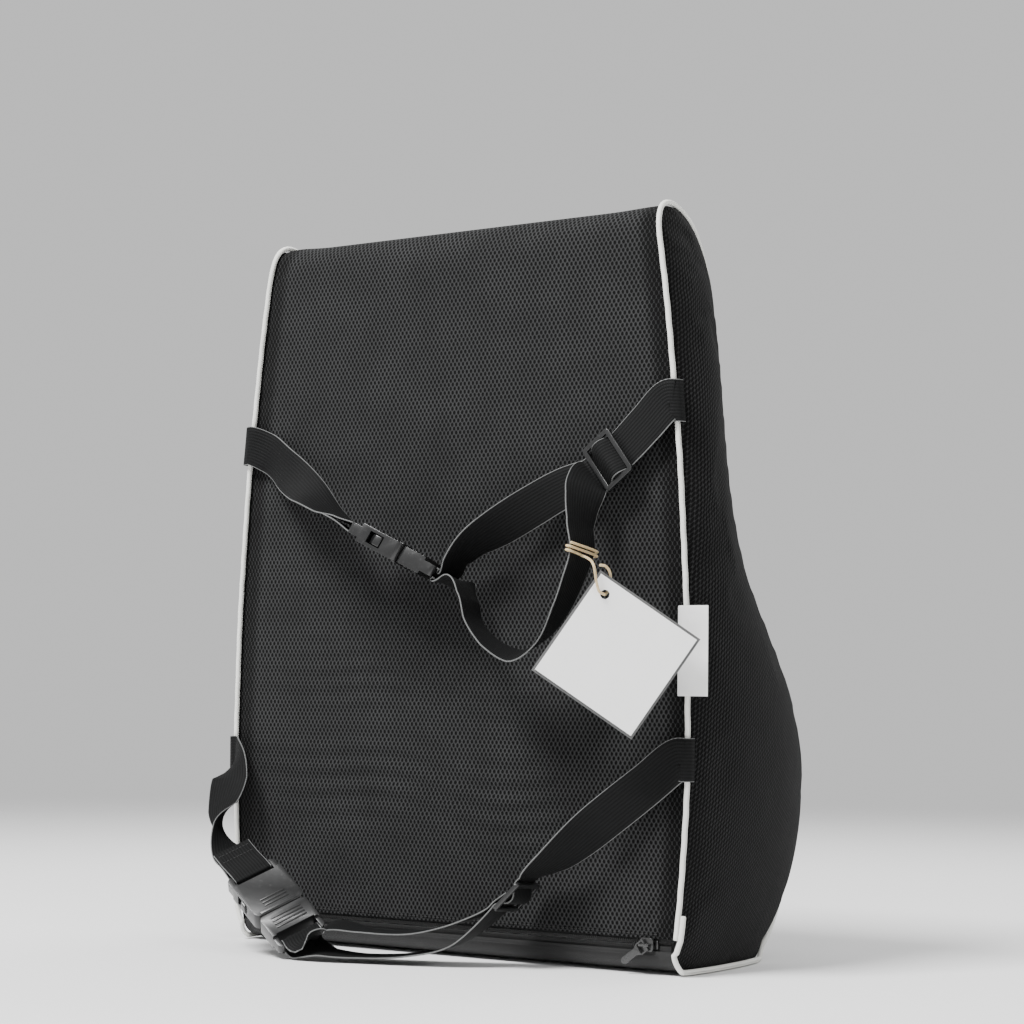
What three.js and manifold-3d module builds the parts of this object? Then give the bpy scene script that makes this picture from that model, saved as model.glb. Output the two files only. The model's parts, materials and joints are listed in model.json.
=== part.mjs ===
// A lumbar support cushion that straps to the back of a chair: a contoured foam core in a zipped
// spacer-mesh cover with piped side seams, and two webbing straps with side-release buckles and
// tri-glide adjusters, a sewn side label and a swing tag.
//
// Millimetres, +Z up. The cushion stands on its base. The flat strap side faces -Y, the belly that
// supports the user's back faces +Y, and +X is to the right when looking at the strap side.
// The origin is the centre of the flat under the cushion.

import * as THREE from "three";
import { mergeVertices } from "three/addons/utils/BufferGeometryUtils.js";
import Module from "manifold-3d";

// ---------- Driving dimensions ----------

// Cushion body
const HEIGHT = 450;
const BASE_HALF = 164; // half-width at the base
const BELLY_HALF = 174; // half-width at the widest level
const TOP_HALF = 149; // half-width at the top edge
const BELLY_LEVEL = 130; // height of the widest level
const BACK_Y = -62; // plane of the strap side
const WAIST_DEPTH = 50; // thickness of the upper half
const BELLY_DEPTH = 156; // greatest thickness
const BELLY_CREST = 112; // height of the greatest thickness
const WAIST_LEVEL = 312;
const FOOT_BACK = -30; // the flat under the cushion runs from here
const FOOT_FRONT = 33; // to here
const HEEL_HEIGHT = 12; // height of the rounded edge between base and strap side
const TOP_ROUND = 25; // height of the rounded edge at the top of the strap side
const FRONT_INSET = 17; // how much narrower the front seam is than the rear seam
const SIDE_BULGE = 17; // how far a side panel swells between its seams

// Layers, each measured inwards from the outer face of the cover
const COVER_THICK = 2;
const TAPE_DEPTH = 2.3;
const TAPE_THICK = 0.6;
const LINER_DEPTH = 5.2;
const LINER_THICK = 0.6;
const GAP = 0.3; // between pieces that touch

// Piping round each side panel
const PIPING_RADIUS = 1.6;
const PIPING_LIFT = PIPING_RADIUS + 1; // height of the piping's centre over the cover
const PIPING_INSET = 0.6; // from the edge of the panel to the piping's centre
const PIPING_LAP = 14; // how far the ends of the piping lie side by side

// Zip along the bottom of the strap side
const ZIP_LEVEL = 16.9;
const ZIP_HALF = 151; // half the length of the coils
const ZIP_WINDOW = 7.4; // height of the gap between the two cover panels
const ZIP_TAPE_WIDTH = 4.6;
const COIL_HEIGHT = 1.6;
const COIL_CHANNEL = 1.6; // gap between the two coils
const COIL_DEPTH = 0.4;
const COIL_THICK = 1.6;
const SLIDER_X = 146.5;
const SLIDER_LENGTH = 9;
const SLIDER_HEIGHT = 8;
const SLIDER_PLATE = 1.4;
const PULL_LENGTH = 19;
const PULL_WIDTH = 4.4;
const PULL_THICK = 1.2;
const PULL_EYE = 7.6; // width of the eye that hangs on the slider's arch
const PULL_DROOP = 35; // degrees that the resting pull hangs below the zip line
const STOP_LENGTH = 1.6;

// Webbing straps
const WEB_WIDTH = 25;
const WEB_THICK = 1;
const UPPER_LEFT_LEVEL = 320; // height of each strap end in its seam
const UPPER_RIGHT_LEVEL = 331;
const LOWER_LEFT_LEVEL = 118;
const LOWER_RIGHT_LEVEL = 123.5;

// Side-release buckle, measured along its axis from the middle of the female web bar
const BUCKLE_SPAN = 60; // from web bar to web bar
const BUCKLE_WIDTH = 34;
const BUCKLE_THICK = 12;
const BAR_HALF = 2; // half the depth of a web bar
const BAR_THICK = 4.4;
const WEB_SLOT = 5.5; // length of the slot beside a web bar
const WEB_CLEAR = 0.7; // side clearance of the webbing in a slot
const SOCKET_END = 36; // mouth of the female half
const SOCKET_WALL = 2.8;
const SOCKET_ROOF = 2.2;
const WINDOW_START = 13; // side window that a prong's head shows in
const WINDOW_END = 23;
const HEAD_PROUD = 0.9; // how far a prong's head stands out of its window
const TONGUE_HALF = 2.4;
const PRONG_THICK = 6.4;

// Tri-glide adjuster
const GLIDE_LENGTH = 22;
const GLIDE_THICK = 2.6;
const GLIDE_RIM = 2.8;

// Side label and swing tag
const LABEL_HEIGHT = 52;
const LABEL_LEVEL = 186;
const LABEL_THICK = 0.8;
const TAG_SIDE = 66;
const TAG_THICK = 0.6;
const TAG_HOLE_RADIUS = 2.8;
const TAG_HOLE_INSET = 8.5; // from each edge at the top corner to the middle of the hole
const TAG_BORDER = 1.5; // how far the backing card stands out round the front card
const BAND_RADIUS = 0.8;
const BAND_ROW = 122; // x of the strap row that the band is looped round

// ---------- Materials ----------

const finish = (color, roughness, metalness = 0) => () =>
  new THREE.MeshStandardMaterial({ color, roughness, metalness });

const FOAM = finish("#d9d3bd", 0.95);
const LINER = finish("#e6e6e2", 0.9);
const MESH_CLOTH = finish("#2b2c2d", 0.85);
const BASE_CLOTH = finish("#202122", 0.8);
const PIPING = finish("#ebebe1", 0.6);
const ZIP_TAPE = finish("#171819", 0.8);
const ZIP_COIL = finish("#1b1c1d", 0.45);
const ZIP_METAL = finish("#1a1a1b", 0.4, 0.6);
const WEBBING = finish("#1a1b1c", 0.75);
const ACETAL = finish("#3c3d3e", 0.35);
const LABEL = finish("#e9e9e6", 0.7);
const CARD = finish("#eeeeec", 0.6);
const BACKING = finish("#6a6a68", 0.8);
const RUBBER = finish("#c3a878", 0.6);

// ---------- Solids ----------

const wasm = await Module();
wasm.setup();

/** A closed geometry as a solid that can be joined and cut. */
function toSolid(geometry) {
  const bare = geometry.clone();
  bare.deleteAttribute("normal");
  bare.deleteAttribute("uv");
  const merged = mergeVertices(bare, 1e-4);
  const mesh = new wasm.Mesh({
    numProp: 3,
    vertProperties: new Float32Array(merged.attributes.position.array),
    triVerts: new Uint32Array(merged.index.array),
  });
  return new wasm.Manifold(mesh);
}

/** A solid as a geometry with flat normals. */
function toGeometry(solid) {
  const mesh = solid.getMesh();
  const shared = new THREE.BufferGeometry();
  shared.setAttribute("position", new THREE.BufferAttribute(mesh.vertProperties, 3));
  shared.setIndex(new THREE.BufferAttribute(mesh.triVerts, 1));
  const flat = shared.toNonIndexed();
  flat.computeVertexNormals();
  return flat;
}

/** The first geometry less all the others. */
function carve(base, ...cuts) {
  return toGeometry(cuts.reduce((left, cut) => left.subtract(toSolid(cut)), toSolid(base)));
}

/** All the geometries joined. */
function join(base, ...others) {
  return toGeometry(others.reduce((left, other) => left.add(toSolid(other)), toSolid(base)));
}

/** A box from its lowest to its highest corner. */
function box(low, high) {
  const size = high.map((value, axis) => value - low[axis]);
  const middle = high.map((value, axis) => (value + low[axis]) / 2);
  return new THREE.BoxGeometry(...size).translate(...middle);
}

/** A plate of an outline in XY, centred on z = 0. */
function plate(outline, thick) {
  const settings = { depth: thick, bevelEnabled: false, curveSegments: 4 };
  return new THREE.ExtrudeGeometry(outline, settings).translate(0, 0, -thick / 2);
}

/** An outline of a rectangle with round corners. */
function roundedOutline(x0, y0, x1, y1, radius) {
  const outline = new THREE.Shape();
  outline.absarc(x1 - radius, y0 + radius, radius, -Math.PI / 2, 0);
  outline.absarc(x1 - radius, y1 - radius, radius, 0, Math.PI / 2);
  outline.absarc(x0 + radius, y1 - radius, radius, Math.PI / 2, Math.PI);
  outline.absarc(x0 + radius, y0 + radius, radius, Math.PI, 1.5 * Math.PI);
  outline.closePath();
  return outline;
}

/** Moves every vertex of a geometry to place(x, y, z). */
function reshape(geometry, place) {
  const spots = geometry.attributes.position;
  for (let i = 0; i < spots.count; i += 1) {
    const spot = place(spots.getX(i), spots.getY(i), spots.getZ(i));
    spots.setXYZ(i, spot.x, spot.y, spot.z);
  }
  geometry.computeVertexNormals();
  return geometry;
}

const mix = THREE.MathUtils.lerp;
const vec = (x, y, z) => new THREE.Vector3(x, y, z);

// ---------- Outer form of the cushion ----------

const point = (y, z) => new THREE.Vector2(y, z);
const WAIST_Y = BACK_Y + WAIST_DEPTH;
const CREST_Y = BACK_Y + BELLY_DEPTH;
const ZIP_LOW = ZIP_LEVEL - ZIP_WINDOW / 2;
const ZIP_HIGH = ZIP_LEVEL + ZIP_WINDOW / 2;

// The side profile, from the front of the base, under it, up the strap side and down the front.
const NOSE = point(-48, HEIGHT);
const SHOULDER = point(WAIST_Y + 1, HEIGHT - 45);
const HOLLOW = point(WAIST_Y, WAIST_LEVEL);
const SLOPE = point(WAIST_Y + 16, WAIST_LEVEL - 76);
const CREST = point(CREST_Y - 1, BELLY_CREST);
const TOE = point(50, 13);
const PROFILE = {
  base: [new THREE.LineCurve(point(FOOT_FRONT, 0), point(FOOT_BACK, 0)), 4],
  heel: [
    new THREE.CubicBezierCurve(
      point(FOOT_BACK, 0),
      point(FOOT_BACK - 16, 0),
      point(BACK_Y + 1, 1),
      point(BACK_Y, HEEL_HEIGHT),
    ),
    6,
  ],
  lip: [new THREE.LineCurve(point(BACK_Y, HEEL_HEIGHT), point(BACK_Y, ZIP_LOW)), 1],
  zip: [new THREE.LineCurve(point(BACK_Y, ZIP_LOW), point(BACK_Y, ZIP_HIGH)), 1],
  back: [new THREE.LineCurve(point(BACK_Y, ZIP_HIGH), point(BACK_Y, HEIGHT - TOP_ROUND)), 14],
  crown: [
    new THREE.CubicBezierCurve(
      point(BACK_Y, HEIGHT - TOP_ROUND),
      point(BACK_Y, HEIGHT - 8),
      point(BACK_Y + 4, HEIGHT),
      NOSE,
    ),
    5,
  ],
  brow: [
    new THREE.CubicBezierCurve(NOSE, point(-31, HEIGHT), point(-15, HEIGHT - 14), SHOULDER),
    7,
  ],
  chest: [
    new THREE.CubicBezierCurve(
      SHOULDER,
      point(SHOULDER.x + 2, SHOULDER.y - 30),
      point(HOLLOW.x, HOLLOW.y + 28),
      HOLLOW,
    ),
    5,
  ],
  waist: [
    new THREE.CubicBezierCurve(
      HOLLOW,
      point(HOLLOW.x, HOLLOW.y - 27),
      point(SLOPE.x - 13, SLOPE.y + 26),
      SLOPE,
    ),
    5,
  ],
  belly: [
    new THREE.CubicBezierCurve(
      SLOPE,
      point(SLOPE.x + 20, SLOPE.y - 36),
      point(CREST.x - 5, CREST.y + 48),
      CREST,
    ),
    8,
  ],
  lap: [
    new THREE.CubicBezierCurve(CREST, point(CREST.x + 4, CREST.y - 37), point(CREST.x - 6, 38), TOE),
    6,
  ],
  toe: [
    new THREE.CubicBezierCurve(TOE, point(TOE.x - 3, 6), point(TOE.x - 7, 0), point(FOOT_FRONT, 0)),
    3,
  ],
};

/** Stations along some stretches of the profile, each with its outward normal. */
function stations(...names) {
  const found = [];
  names.forEach((name, order) => {
    const [curve, steps] = PROFILE[name];
    for (let i = order === 0 ? 0 : 1; i <= steps; i += 1) {
      const spot = curve.getPoint(i / steps);
      const along = curve.getTangent(i / steps);
      found.push({ y: spot.x, z: spot.y, ny: -along.y, nz: along.x });
    }
  });
  return found;
}

const WHOLE = stations(...Object.keys(PROFILE));

/** The lowest and highest y of the profile at a level, measured a depth inside it. */
function chord(z, depth) {
  const hits = [];
  WHOLE.forEach((a, i) => {
    const b = WHOLE[(i + 1) % WHOLE.length];
    const [ya, za] = [a.y - a.ny * depth, a.z - a.nz * depth];
    const [yb, zb] = [b.y - b.ny * depth, b.z - b.nz * depth];
    if ((za - z) * (zb - z) <= 0 && za !== zb) hits.push(mix(ya, yb, (z - za) / (zb - za)));
  });
  return [Math.min(...hits), Math.max(...hits)];
}

/** Half-width of the cushion from seam to seam. */
function halfWidth(y, z) {
  const below = BASE_HALF - BELLY_HALF;
  const above = TOP_HALF - BELLY_HALF;
  const down = (BELLY_LEVEL - z) / BELLY_LEVEL;
  const up = (z - BELLY_LEVEL) / (HEIGHT - BELLY_LEVEL);
  const seam = BELLY_HALF + (z < BELLY_LEVEL ? below * down * down : above * up * up);
  const forward = THREE.MathUtils.clamp((y - BACK_Y) / BELLY_DEPTH, 0, 1);
  return seam - FRONT_INSET * forward * forward;
}

/** How far the side swells beyond the seams. */
function bulge(y, z) {
  const level = THREE.MathUtils.clamp(z, 1, HEIGHT - 1);
  const [back, front] = chord(level, 0);
  const across = THREE.MathUtils.clamp((y - back) / (front - back), 0, 1);
  const rise = THREE.MathUtils.clamp(level / HEIGHT, 0, 1);
  const fullness = 0.45 + (0.55 * (front - back)) / BELLY_DEPTH;
  return fullness * SIDE_BULGE * (4 * across * (1 - across)) ** 0.7 * Math.sin(Math.PI * rise) ** 0.4;
}

/** A closed body with the cushion's form, a depth inside it, swollen at the sides. */
function cushionForm(depth, across, along, up) {
  const [low, high] = [depth, HEIGHT - depth - 1.5];
  return reshape(new THREE.BoxGeometry(2, 1, 1, across, along, up), (x, y, z) => {
    const share = z + 0.5;
    const level = mix(low, high, share - 0.09 * Math.sin(2 * Math.PI * share));
    const [back, front] = chord(level, depth);
    const deep = mix(back, front, y + 0.5);
    return vec(x * (halfWidth(deep, level) + bulge(deep, level) - depth), deep, level);
  });
}

/** A sheet along stretches of the profile, between two depths, from seam to seam. */
function wrapSheet(names, outer, inner, inset, across) {
  const line = stations(...names);
  const steps = line.length - 1;
  return reshape(new THREE.BoxGeometry(2, 1, 1, across, 1, steps), (x, y, z) => {
    const at = line[Math.round((z + 0.5) * steps)];
    const depth = mix(outer, inner, y + 0.5);
    const half = halfWidth(at.y, at.z) - inset;
    return vec(x * half, at.y - at.ny * depth, at.z - at.nz * depth);
  });
}

/** A side panel: side is 1 at +X and -1 at -X. */
function sidePanel(side) {
  const [low, high] = [GAP, HEIGHT - 1.2];
  return reshape(new THREE.BoxGeometry(1, 1, 1, 1, 8, 26), (x, y, z) => {
    const share = z + 0.5;
    const level = mix(low, high, share - 0.09 * Math.sin(2 * Math.PI * share));
    const [back, front] = chord(level, GAP);
    const deep = mix(back, front, y + 0.5);
    const out = halfWidth(deep, level) + bulge(deep, level) - COVER_THICK * (0.5 - side * x);
    return vec(side * out, deep, level);
  });
}

// ---------- Bent strips and tubes ----------

const RIBBON_STEPS = 5;

/** The smooth curve through the centres of a route's rows. */
function centreLine(route) {
  return new THREE.CatmullRomCurve3(route.map(([at]) => at), false, "centripetal");
}

/** The frame of a route at t from 0 to 1: each row of it is a centre and a width direction. */
function routeFrame(route, centre, t) {
  const along = centre.getTangent(t);
  const across = widthAt(route, t);
  across.addScaledVector(along, -across.dot(along)).normalize();
  return { at: centre.getPoint(t), along, across, up: along.clone().cross(across) };
}

/** The width direction at the curve parameter t, blended between the two nearest rows. */
function widthAt(route, t) {
  const place = t * (route.length - 1);
  const before = Math.min(Math.floor(place), route.length - 2);
  return route[before][1].clone().lerp(route[before + 1][1], place - before);
}

/** A flat strip bent along a route, with a few steps from each row to the next. */
function ribbon(route, width, thick) {
  const steps = (route.length - 1) * RIBBON_STEPS;
  const centre = centreLine(route);
  const frames = Array.from({ length: steps + 1 }, (_, i) => routeFrame(route, centre, i / steps));
  return reshape(new THREE.BoxGeometry(width, thick, 1, 1, 1, steps), (x, y, z) => {
    const frame = frames[Math.round((z + 0.5) * steps)];
    return frame.at.clone().addScaledVector(frame.across, x).addScaledVector(frame.up, y);
  });
}

/** A tube through a list of points. */
function tube(points, radius, sides) {
  const steps = points.length - 1;
  const rings = [];
  let across = vec(1, 0, 0);
  points.forEach((at, i) => {
    const along = points[Math.min(i + 1, steps)].clone().sub(points[Math.max(i - 1, 0)]).normalize();
    across = across.clone().addScaledVector(along, -across.dot(along)).normalize();
    rings.push({ at, across, up: along.clone().cross(across) });
  });
  return reshape(new THREE.CylinderGeometry(radius, radius, 1, sides, steps), (x, y, z) => {
    const ring = rings[Math.round((y + 0.5) * steps)];
    return ring.at.clone().addScaledVector(ring.across, z).addScaledVector(ring.up, x);
  });
}

// ---------- The assembly ----------

const cushion = new THREE.Group();

/** Adds a named piece to a group. */
function add(group, name, geometry, material) {
  const mesh = new THREE.Mesh(geometry, material());
  mesh.name = name;
  group.add(mesh);
  return mesh;
}

/** A group whose X and Y axes point along two directions. */
function framed(origin, along, across) {
  const x = along.clone().normalize();
  const y = across.clone().addScaledVector(x, -across.dot(x)).normalize();
  const group = new THREE.Group();
  group.matrix.makeBasis(x, y, x.clone().cross(y)).setPosition(origin);
  group.matrix.decompose(group.position, group.quaternion, group.scale);
  group.updateMatrix();
  cushion.add(group);
  return group;
}

// ----- Foam and liner -----

const FOAM_DEPTH = LINER_DEPTH + LINER_THICK + GAP;
const LINER_MOUTH = 90; // half the length of the slot that the foam is pushed in through

/** The foam block. */
function buildFoam() {
  add(cushion, "foam_core", cushionForm(FOAM_DEPTH, 6, 4, 20), FOAM);
}

/** The thin knitted sock round the foam, open along a slot under the base. */
function buildLiner() {
  const outside = cushionForm(LINER_DEPTH, 6, 4, 20);
  const inside = cushionForm(LINER_DEPTH + LINER_THICK, 6, 4, 20);
  const floor = LINER_DEPTH + LINER_THICK + 1;
  const mouth = box([-LINER_MOUTH, -14, LINER_DEPTH - 1], [LINER_MOUTH, 12, floor]);
  add(cushion, "inner_liner", carve(outside, inside, mouth), LINER);
}

// ----- Cover -----

const WRAP = ["back", "crown", "brow", "chest", "waist", "belly", "lap"];
const PANEL_INSET = COVER_THICK + 2 * GAP;

/** The wrap round back, top and front, the two sides and the base. */
function buildCover() {
  const wrap = wrapSheet(WRAP, 0, COVER_THICK, PANEL_INSET, 6);
  add(cushion, "cover_wrap_panel", wrap, MESH_CLOTH);
  const underside = ["toe", "base", "heel", "lip"];
  const base = wrapSheet(underside, 0, COVER_THICK, PANEL_INSET, 6);
  // The base panel stops short of the wrap's front edge.
  const edge = stations("lap").at(-1);
  const seam = box([-BELLY_HALF, edge.y - 6, edge.z - GAP], [BELLY_HALF, edge.y + 6, edge.z + 4]);
  add(cushion, "cover_base_panel", carve(base, seam), BASE_CLOTH);
  add(cushion, "cover_side_left", sidePanel(-1), MESH_CLOTH);
  add(cushion, "cover_side_right", sidePanel(1), MESH_CLOTH);
}

/** One loop of piping round a side panel, its ends lapped side by side above the heel. */
function pipingLoop(side) {
  const loop = stations("back", "crown", "brow", "chest", "waist", "belly", "lap");
  const under = stations("toe", "base", "heel", "lip", "zip");
  const lapEnd = { ...under.at(-1), z: under.at(-1).z + PIPING_LAP };
  const route = [...loop, ...under.slice(1, -1), lapEnd];
  const beside = 2 * PIPING_RADIUS + GAP;
  return route.map((at, i) => {
    const lapped = i > route.length - 3 ? beside : 0;
    // Under the cushion the piping lies beside the panel, so that the base stays flat.
    const beyond = PIPING_RADIUS + PIPING_INSET + 2 * GAP + bulge(at.y, 2 * PIPING_RADIUS);
    const splayed = Math.max(0, -at.nz) * beyond;
    const out = halfWidth(at.y, at.z) - PIPING_INSET + lapped + splayed;
    const level = Math.max(at.z + at.nz * PIPING_LIFT, PIPING_RADIUS);
    return vec(side * out, at.y + at.ny * PIPING_LIFT, level);
  });
}

/** The piping of both sides. */
function buildPiping() {
  add(cushion, "piping_left", tube(pipingLoop(-1), PIPING_RADIUS, 6), PIPING);
  add(cushion, "piping_right", tube(pipingLoop(1), PIPING_RADIUS, 6), PIPING);
}

// ----- Zip -----

const COIL_INNER = COIL_CHANNEL / 2;
const COIL_FACE = BACK_Y + COIL_DEPTH;
const TAPE_FACE = BACK_Y + TAPE_DEPTH;

/** One tape with its coil: up is 1 above the channel and -1 below it. */
function buildZipSide(name, up) {
  const band = (near, far) => [ZIP_LEVEL + up * near, ZIP_LEVEL + up * far].sort((a, b) => a - b);
  const [tapeLow, tapeHigh] = band(COIL_INNER, COIL_INNER + ZIP_TAPE_WIDTH);
  const [coilLow, coilHigh] = band(COIL_INNER, COIL_INNER + COIL_HEIGHT);
  const reach = halfWidth(BACK_Y, ZIP_LEVEL) - PANEL_INSET - GAP;
  const backOfTape = TAPE_FACE + TAPE_THICK;
  const tape = box([-reach, TAPE_FACE, tapeLow], [reach, backOfTape, tapeHigh]);
  const coil = box([-ZIP_HALF, COIL_FACE, coilLow], [ZIP_HALF, COIL_FACE + COIL_THICK, coilHigh]);
  add(cushion, `zip_tape_${name}`, tape, ZIP_TAPE);
  add(cushion, `zip_coil_${name}`, coil, ZIP_COIL);
}

/** The stop at one end of the coils. */
function buildZipStop(name, side) {
  const near = side * (ZIP_HALF + GAP);
  const far = side * (ZIP_HALF + GAP + STOP_LENGTH);
  const half = COIL_INNER + COIL_HEIGHT;
  const low = [Math.min(near, far), COIL_FACE, ZIP_LEVEL - half];
  const high = [Math.max(near, far), COIL_FACE + COIL_THICK, ZIP_LEVEL + half];
  add(cushion, `zip_stop_${name}`, box(low, high), ZIP_METAL);
}

const ARCH_INNER = 2.55; // half the length of the opening under the slider's arch
const ARCH_OUTER = 3.45;
const ARCH_HEIGHT = 2.6;
const ARCH_TOP = 0.9;
const ARCH_HALF = 0.8;
const PLATE_FACE = BACK_Y - 2 * GAP; // rear of the slider's outer plate
const PIVOT_Y = PLATE_FACE - SLIDER_PLATE - 1.4;

/** Slider: two plates joined by a post between the coils, with an arch for the pull. */
function buildSlider() {
  const half = SLIDER_LENGTH / 2;
  const tall = SLIDER_HEIGHT / 2;
  const outer = plate(roundedOutline(-half, -tall, half, tall, 2), SLIDER_PLATE);
  const top = PLATE_FACE - SLIDER_PLATE;
  outer.rotateX(Math.PI / 2).translate(SLIDER_X, PLATE_FACE - SLIDER_PLATE / 2, ZIP_LEVEL);
  const inner = outer.clone().translate(0, TAPE_FACE + TAPE_THICK + GAP + SLIDER_PLATE - PLATE_FACE, 0);
  const post = box(
    [SLIDER_X - 1.2, PLATE_FACE - 0.2, ZIP_LEVEL - 0.5],
    [SLIDER_X + 1.2, TAPE_FACE + TAPE_THICK + GAP + 0.2, ZIP_LEVEL + 0.5],
  );
  const arch = carve(
    box(
      [SLIDER_X - ARCH_OUTER, top - ARCH_HEIGHT - ARCH_TOP, ZIP_LEVEL - ARCH_HALF],
      [SLIDER_X + ARCH_OUTER, top + 0.2, ZIP_LEVEL + ARCH_HALF],
    ),
    box(
      [SLIDER_X - ARCH_INNER, top - ARCH_HEIGHT, ZIP_LEVEL - 2],
      [SLIDER_X + ARCH_INNER, top, ZIP_LEVEL + 2],
    ),
  );
  add(cushion, "zip_slider", join(outer, inner, post, arch), ZIP_METAL);
}

/** Pull tab with an eye whose cross-bar lies under the slider's arch. */
function buildPull() {
  const droop = THREE.MathUtils.degToRad(PULL_DROOP);
  const group = framed(
    vec(SLIDER_X, PIVOT_Y, ZIP_LEVEL),
    vec(-Math.cos(droop), 0, -Math.sin(droop)),
    vec(-Math.sin(droop), 0, Math.cos(droop)),
  );
  const head = PULL_EYE / 2;
  const tail = PULL_WIDTH / 2;
  const outline = new THREE.Shape();
  outline.moveTo(-0.6, -head);
  outline.lineTo(4.5, -head);
  outline.lineTo(7.5, -tail);
  outline.lineTo(PULL_LENGTH - tail, -tail);
  outline.absarc(PULL_LENGTH - tail, 0, tail, -Math.PI / 2, Math.PI / 2);
  outline.lineTo(7.5, tail);
  outline.lineTo(4.5, head);
  outline.lineTo(-0.6, head);
  outline.closePath();
  outline.holes.push(roundedOutline(0.6, 0.9 - head, 4.8, head - 0.9, 0.3));
  add(group, "zip_pull", plate(outline, PULL_THICK), ZIP_METAL);
}

// ----- Side-release buckles -----

const SLOT_HALF = WEB_WIDTH / 2 + WEB_CLEAR;
const RAIL_THICK = 7;
const BODY_START = BAR_HALF + WEB_SLOT; // where the female half reaches its full thickness
const MALE_START = SOCKET_END + 0.4;
const MALE_BLOCK = BUCKLE_SPAN - BAR_HALF - WEB_SLOT;
const SOCKET_HALF = BUCKLE_WIDTH / 2 - SOCKET_WALL;
const PRONG_ROOT = SOCKET_END + 0.1;
const PRONG_PIVOT = 9.6; // from the buckle's axis to a prong's root

/** Female half: a hollow socket with a side window each side and a web bar. */
function femaleBuckle() {
  const half = BUCKLE_WIDTH / 2;
  const deep = BUCKLE_THICK / 2;
  const body = plate(roundedOutline(-BAR_HALF, -half, SOCKET_END, half, 4), BUCKLE_THICK);
  const roof = deep - SOCKET_ROOF;
  const cuts = [
    box([BAR_HALF, -SLOT_HALF, -9], [BODY_START, SLOT_HALF, 9]),
    box([BODY_START + 2.5, -SOCKET_HALF, -roof], [SOCKET_END + 1, SOCKET_HALF, roof]),
    box([WINDOW_START, -half - 1, -roof], [WINDOW_END, half + 1, roof]),
  ];
  for (const side of [-1, 1]) {
    const rail = [RAIL_THICK / 2, 9].map((z) => side * z).sort((a, b) => a - b);
    const bar = [BAR_THICK / 2, 9].map((z) => side * z).sort((a, b) => a - b);
    cuts.push(box([-9, -half - 1, rail[0]], [BODY_START - 1, half + 1, rail[1]]));
    cuts.push(box([-9, -SLOT_HALF, bar[0]], [BODY_START, SLOT_HALF, bar[1]]));
  }
  return carve(body, ...cuts);
}

/** Male half without its prongs: a block with a web bar and a guide tongue. */
function maleBuckle() {
  const half = BUCKLE_WIDTH / 2;
  const end = BUCKLE_SPAN + BAR_HALF;
  const body = plate(roundedOutline(MALE_START, -half + 0.8, end, half - 0.8, 3.5), BUCKLE_THICK - 1);
  const cuts = [box([MALE_BLOCK, -SLOT_HALF, -9], [BUCKLE_SPAN - BAR_HALF, SLOT_HALF, 9])];
  for (const side of [-1, 1]) {
    const rail = [RAIL_THICK / 2, 9].map((z) => side * z).sort((a, b) => a - b);
    const bar = [BAR_THICK / 2, 9].map((z) => side * z).sort((a, b) => a - b);
    cuts.push(box([MALE_BLOCK + 1, -half - 1, rail[0]], [end + 1, half + 1, rail[1]]));
    cuts.push(box([MALE_BLOCK, -SLOT_HALF, bar[0]], [end + 1, SLOT_HALF, bar[1]]));
  }
  const tongueStart = BODY_START + 2.5 + 1.5;
  const tongue = box(
    [tongueStart, -TONGUE_HALF, -PRONG_THICK / 2],
    [MALE_START + 0.5, TONGUE_HALF, PRONG_THICK / 2],
  );
  return join(carve(body, ...cuts), tongue);
}

/** One prong, at +Y when side is 1: an arm with a head that stands in the side window. */
function prong(side) {
  const outer = BUCKLE_WIDTH / 2 + HEAD_PROUD;
  const arm = SOCKET_HALF - 1.2;
  const outline = new THREE.Shape();
  const spots = [
    [PRONG_ROOT, PRONG_PIVOT - 1.6],
    [PRONG_ROOT, PRONG_PIVOT + 1.6],
    [WINDOW_END + 1, arm],
    [WINDOW_END - 0.5, arm],
    [WINDOW_END - 0.5, outer],
    [WINDOW_END - 5, outer],
    [WINDOW_START + 1.2, SOCKET_HALF],
    [WINDOW_START + 0.6, arm - 2.2],
    [WINDOW_END - 1, arm - 2.6],
  ];
  spots.forEach(([x, y], i) => (i ? outline.lineTo(x, side * y) : outline.moveTo(x, side * y)));
  outline.closePath();
  return plate(outline, PRONG_THICK);
}

/** Both halves and the prongs of one buckle, standing on its frame. */
function buildBuckle(name, group) {
  add(group, `${name}_buckle_female`, femaleBuckle(), ACETAL);
  add(group, `${name}_buckle_male`, maleBuckle(), ACETAL);
  add(group, `${name}_prong_a`, prong(1), ACETAL);
  add(group, `${name}_prong_b`, prong(-1), ACETAL);
}

/** A tri-glide adjuster: a flat frame with a middle bar. */
function buildGlide(name, group) {
  const half = SLOT_HALF + GLIDE_RIM;
  const long = GLIDE_LENGTH / 2;
  const frame = plate(roundedOutline(-long, -half, long, half, 2.5), GLIDE_THICK);
  const slot = (from, to) => box([from, -SLOT_HALF, -9], [to, SLOT_HALF, 9]);
  const inner = long - GLIDE_RIM;
  const glide = carve(frame, slot(BAR_HALF, inner), slot(-inner, -BAR_HALF));
  add(group, `${name}_adjuster`, glide, ACETAL);
}

// ----- Straps -----

/** A route row given in a group's own frame: distance along its X and height over its plane. */
function inFrame(group, along, above) {
  const across = vec(0, 1, 0).applyQuaternion(group.quaternion);
  return [group.localToWorld(vec(along, 0, above)), across];
}

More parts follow.
